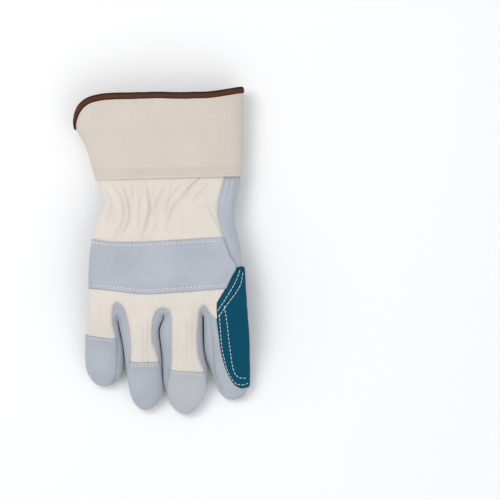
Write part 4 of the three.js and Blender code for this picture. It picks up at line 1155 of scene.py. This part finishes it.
out_of = unit(np.cross(across_cuff(0, 0.4), across_cuff(SLIVER, 0)))
centre = np.column_stack([np.full(TAPE_ROUND, -2.0), edge[:, 1], np.full(TAPE_ROUND, 18.0)])
out_of[(out_of * (edge - centre)).sum(axis=1) < 0] *= -1
for _ in range(3):
    out_of = unit(evened(out_of))
inward = np.cross(ahead, out_of)
inward[(inward[:, 1] > 0)] *= -1
binding, u, v = start_grid("cuff_binding", TAPE_ROUND, len(FOLD) - 1)
column = np.rint(u * TAPE_ROUND).astype(int) % TAPE_ROUND
profile = np.array(FOLD)[np.rint(v * (len(FOLD) - 1)).astype(int)]
place = edge[column] + inward[column] * profile[:, :1] + out_of[column] * profile[:, 1:]
lay_threads(binding, np.column_stack([u * run[-1], v * 12]))
move_points(binding, place * 0.001)
# Painted shade on the tape's two edges and over its fold round the cuff's mouth.
painted_shading_marks(binding).data.foreach_set("value", np.clip(
    0.75 * hump(profile[:, 0] - TAPE_WIDTH, 0.7) + 0.8 * step_up(-profile[:, 0], -0.9, 0.6), 0, 1))
close_seam(binding)
give_wall(binding, TAPE_WALL)
brown_tape = cotton("brown_tape", (0.125, 0.048, 0.024), (0.02, 0.008, 0.005), threads=10.0, relief=0.7,
                    sheen=0.0, shine=0.08)
sewn_in(binding, brown_tape, "cuff_binding", slot="tape")

# The vein patch: a round-cornered piece of the grey leather on the cuff's palm side, over the veins
# of the wrist.
PATCH_LEFT, PATCH_RIGHT, PATCH_FOOT, PATCH_TOP = -27.4, 34.6, 58.8, 84.5
PATCH_CORNER = 12.0
PATCH_WALL = 0.9
ROW_INSET = 3.0


def patch_corners(inset):
    """The patch's two round corners, drawn in by an inset."""
    radius = PATCH_CORNER - inset
    arc = [(radius * math.cos(a), radius * math.sin(a)) for a in np.linspace(0, math.pi / 2, 12)]
    level = PATCH_TOP - PATCH_CORNER
    return ([(PATCH_RIGHT - PATCH_CORNER + c, level + s) for c, s in arc]
            + [(PATCH_LEFT + PATCH_CORNER - s, level + c) for c, s in arc])


patch_line = np.array([(PATCH_LEFT, PATCH_FOOT), (PATCH_RIGHT, PATCH_FOOT)] + patch_corners(0))
patch_line = np.concatenate([
    np.linspace(a, b, max(int(np.hypot(*(b - a)) / 0.8), 1), endpoint=False)
    for a, b in zip(patch_line, np.roll(patch_line, -1, axis=0))])
vein_patch, flat = cut_flat("vein_patch", patch_line, 1.2)
edit_whole(vein_patch, (bpy.ops.mesh.flip_normals, {}))
base_z = form_height(flat[:, 0], flat[:, 1], -1, forms=((CUFF, CUFF_POWER),))
_, gap, _ = nearest_on(patch_line, flat)
proud = 0.3 + 0.7 * step_up(gap, 0, 1.4) - 0.25 * hump(gap - ROW_INSET, 0.8)
# Painted shade along the patch's edge and along its row of thread.
lay(vein_patch, np.column_stack([flat, np.maximum(base_z, CUFF_FLOOR)]), proud, PATCH_WALL,
    0.4 * hump(gap, 0.7) + 0.15 * hump(gap - ROW_INSET, 0.9))
sewn_in(vein_patch, grey_leather, "vein_patch", slot="grey_leather")
patch_row = [(PATCH_RIGHT - ROW_INSET, PATCH_FOOT + 1), *patch_corners(ROW_INSET),
             (PATCH_LEFT + ROW_INSET, PATCH_FOOT + 1)]
sew("vein_patch_stitches", [patch_row], [vein_patch], white_thread, "grey_leather", side=-1, pitch=3.2,
    length=2.2, width=0.55)

# The studio: a pale table, a big soft light from the cuff's far corner, a fill, and the camera
# straight above the glove.
bpy.ops.object.select_all(action="DESELECT")
bpy.ops.mesh.primitive_plane_add(size=6, location=(0, 0, 0))
table_top = bpy.context.object
table_top.name = "table_top"
paint = bpy.data.materials.new("pale_table")
paint.use_nodes = True
paint.node_tree.nodes["Principled BSDF"].inputs["Base Color"].default_value = (0.88, 0.88, 0.887, 1)
paint.node_tree.nodes["Principled BSDF"].inputs["Roughness"].default_value = 0.6
table_top.data.materials.append(paint)


def soft_light(name, place, size, power, tone):
    light = bpy.data.lights.new(name, "AREA")
    light.size, light.energy, light.color = size, power, tone
    lamp = bpy.data.objects.new(name, light)
    bpy.context.scene.collection.objects.link(lamp)
    lamp.location = place
    lamp.rotation_euler = (Vector((0.02, 0, 0.02)) - lamp.location).to_track_quat("-Z", "Y").to_euler()


soft_light("key", (-0.7, 0.6, 1.5), 0.9, 13.3, (1.0, 0.985, 0.965))
soft_light("fill", (0.7, -0.9, 1.3), 1.4, 5.5, (0.97, 0.985, 1.0))
world = bpy.data.worlds.new("studio")
bpy.context.scene.world = world
world.use_nodes = True
world.node_tree.nodes["Background"].inputs["Color"].default_value = (0.97, 0.985, 1.0, 1)
world.node_tree.nodes["Background"].inputs["Strength"].default_value = 0.70
bpy.context.scene.view_settings.view_transform = "Standard"
camera = bpy.data.objects.new("camera", bpy.data.cameras.new("camera"))
bpy.context.scene.collection.objects.link(camera)
camera.data.sensor_width = 36
camera.data.lens = 267
camera.location = (0.0709, 0, 3.03)
camera.data.clip_end = 20
bpy.context.scene.camera = camera
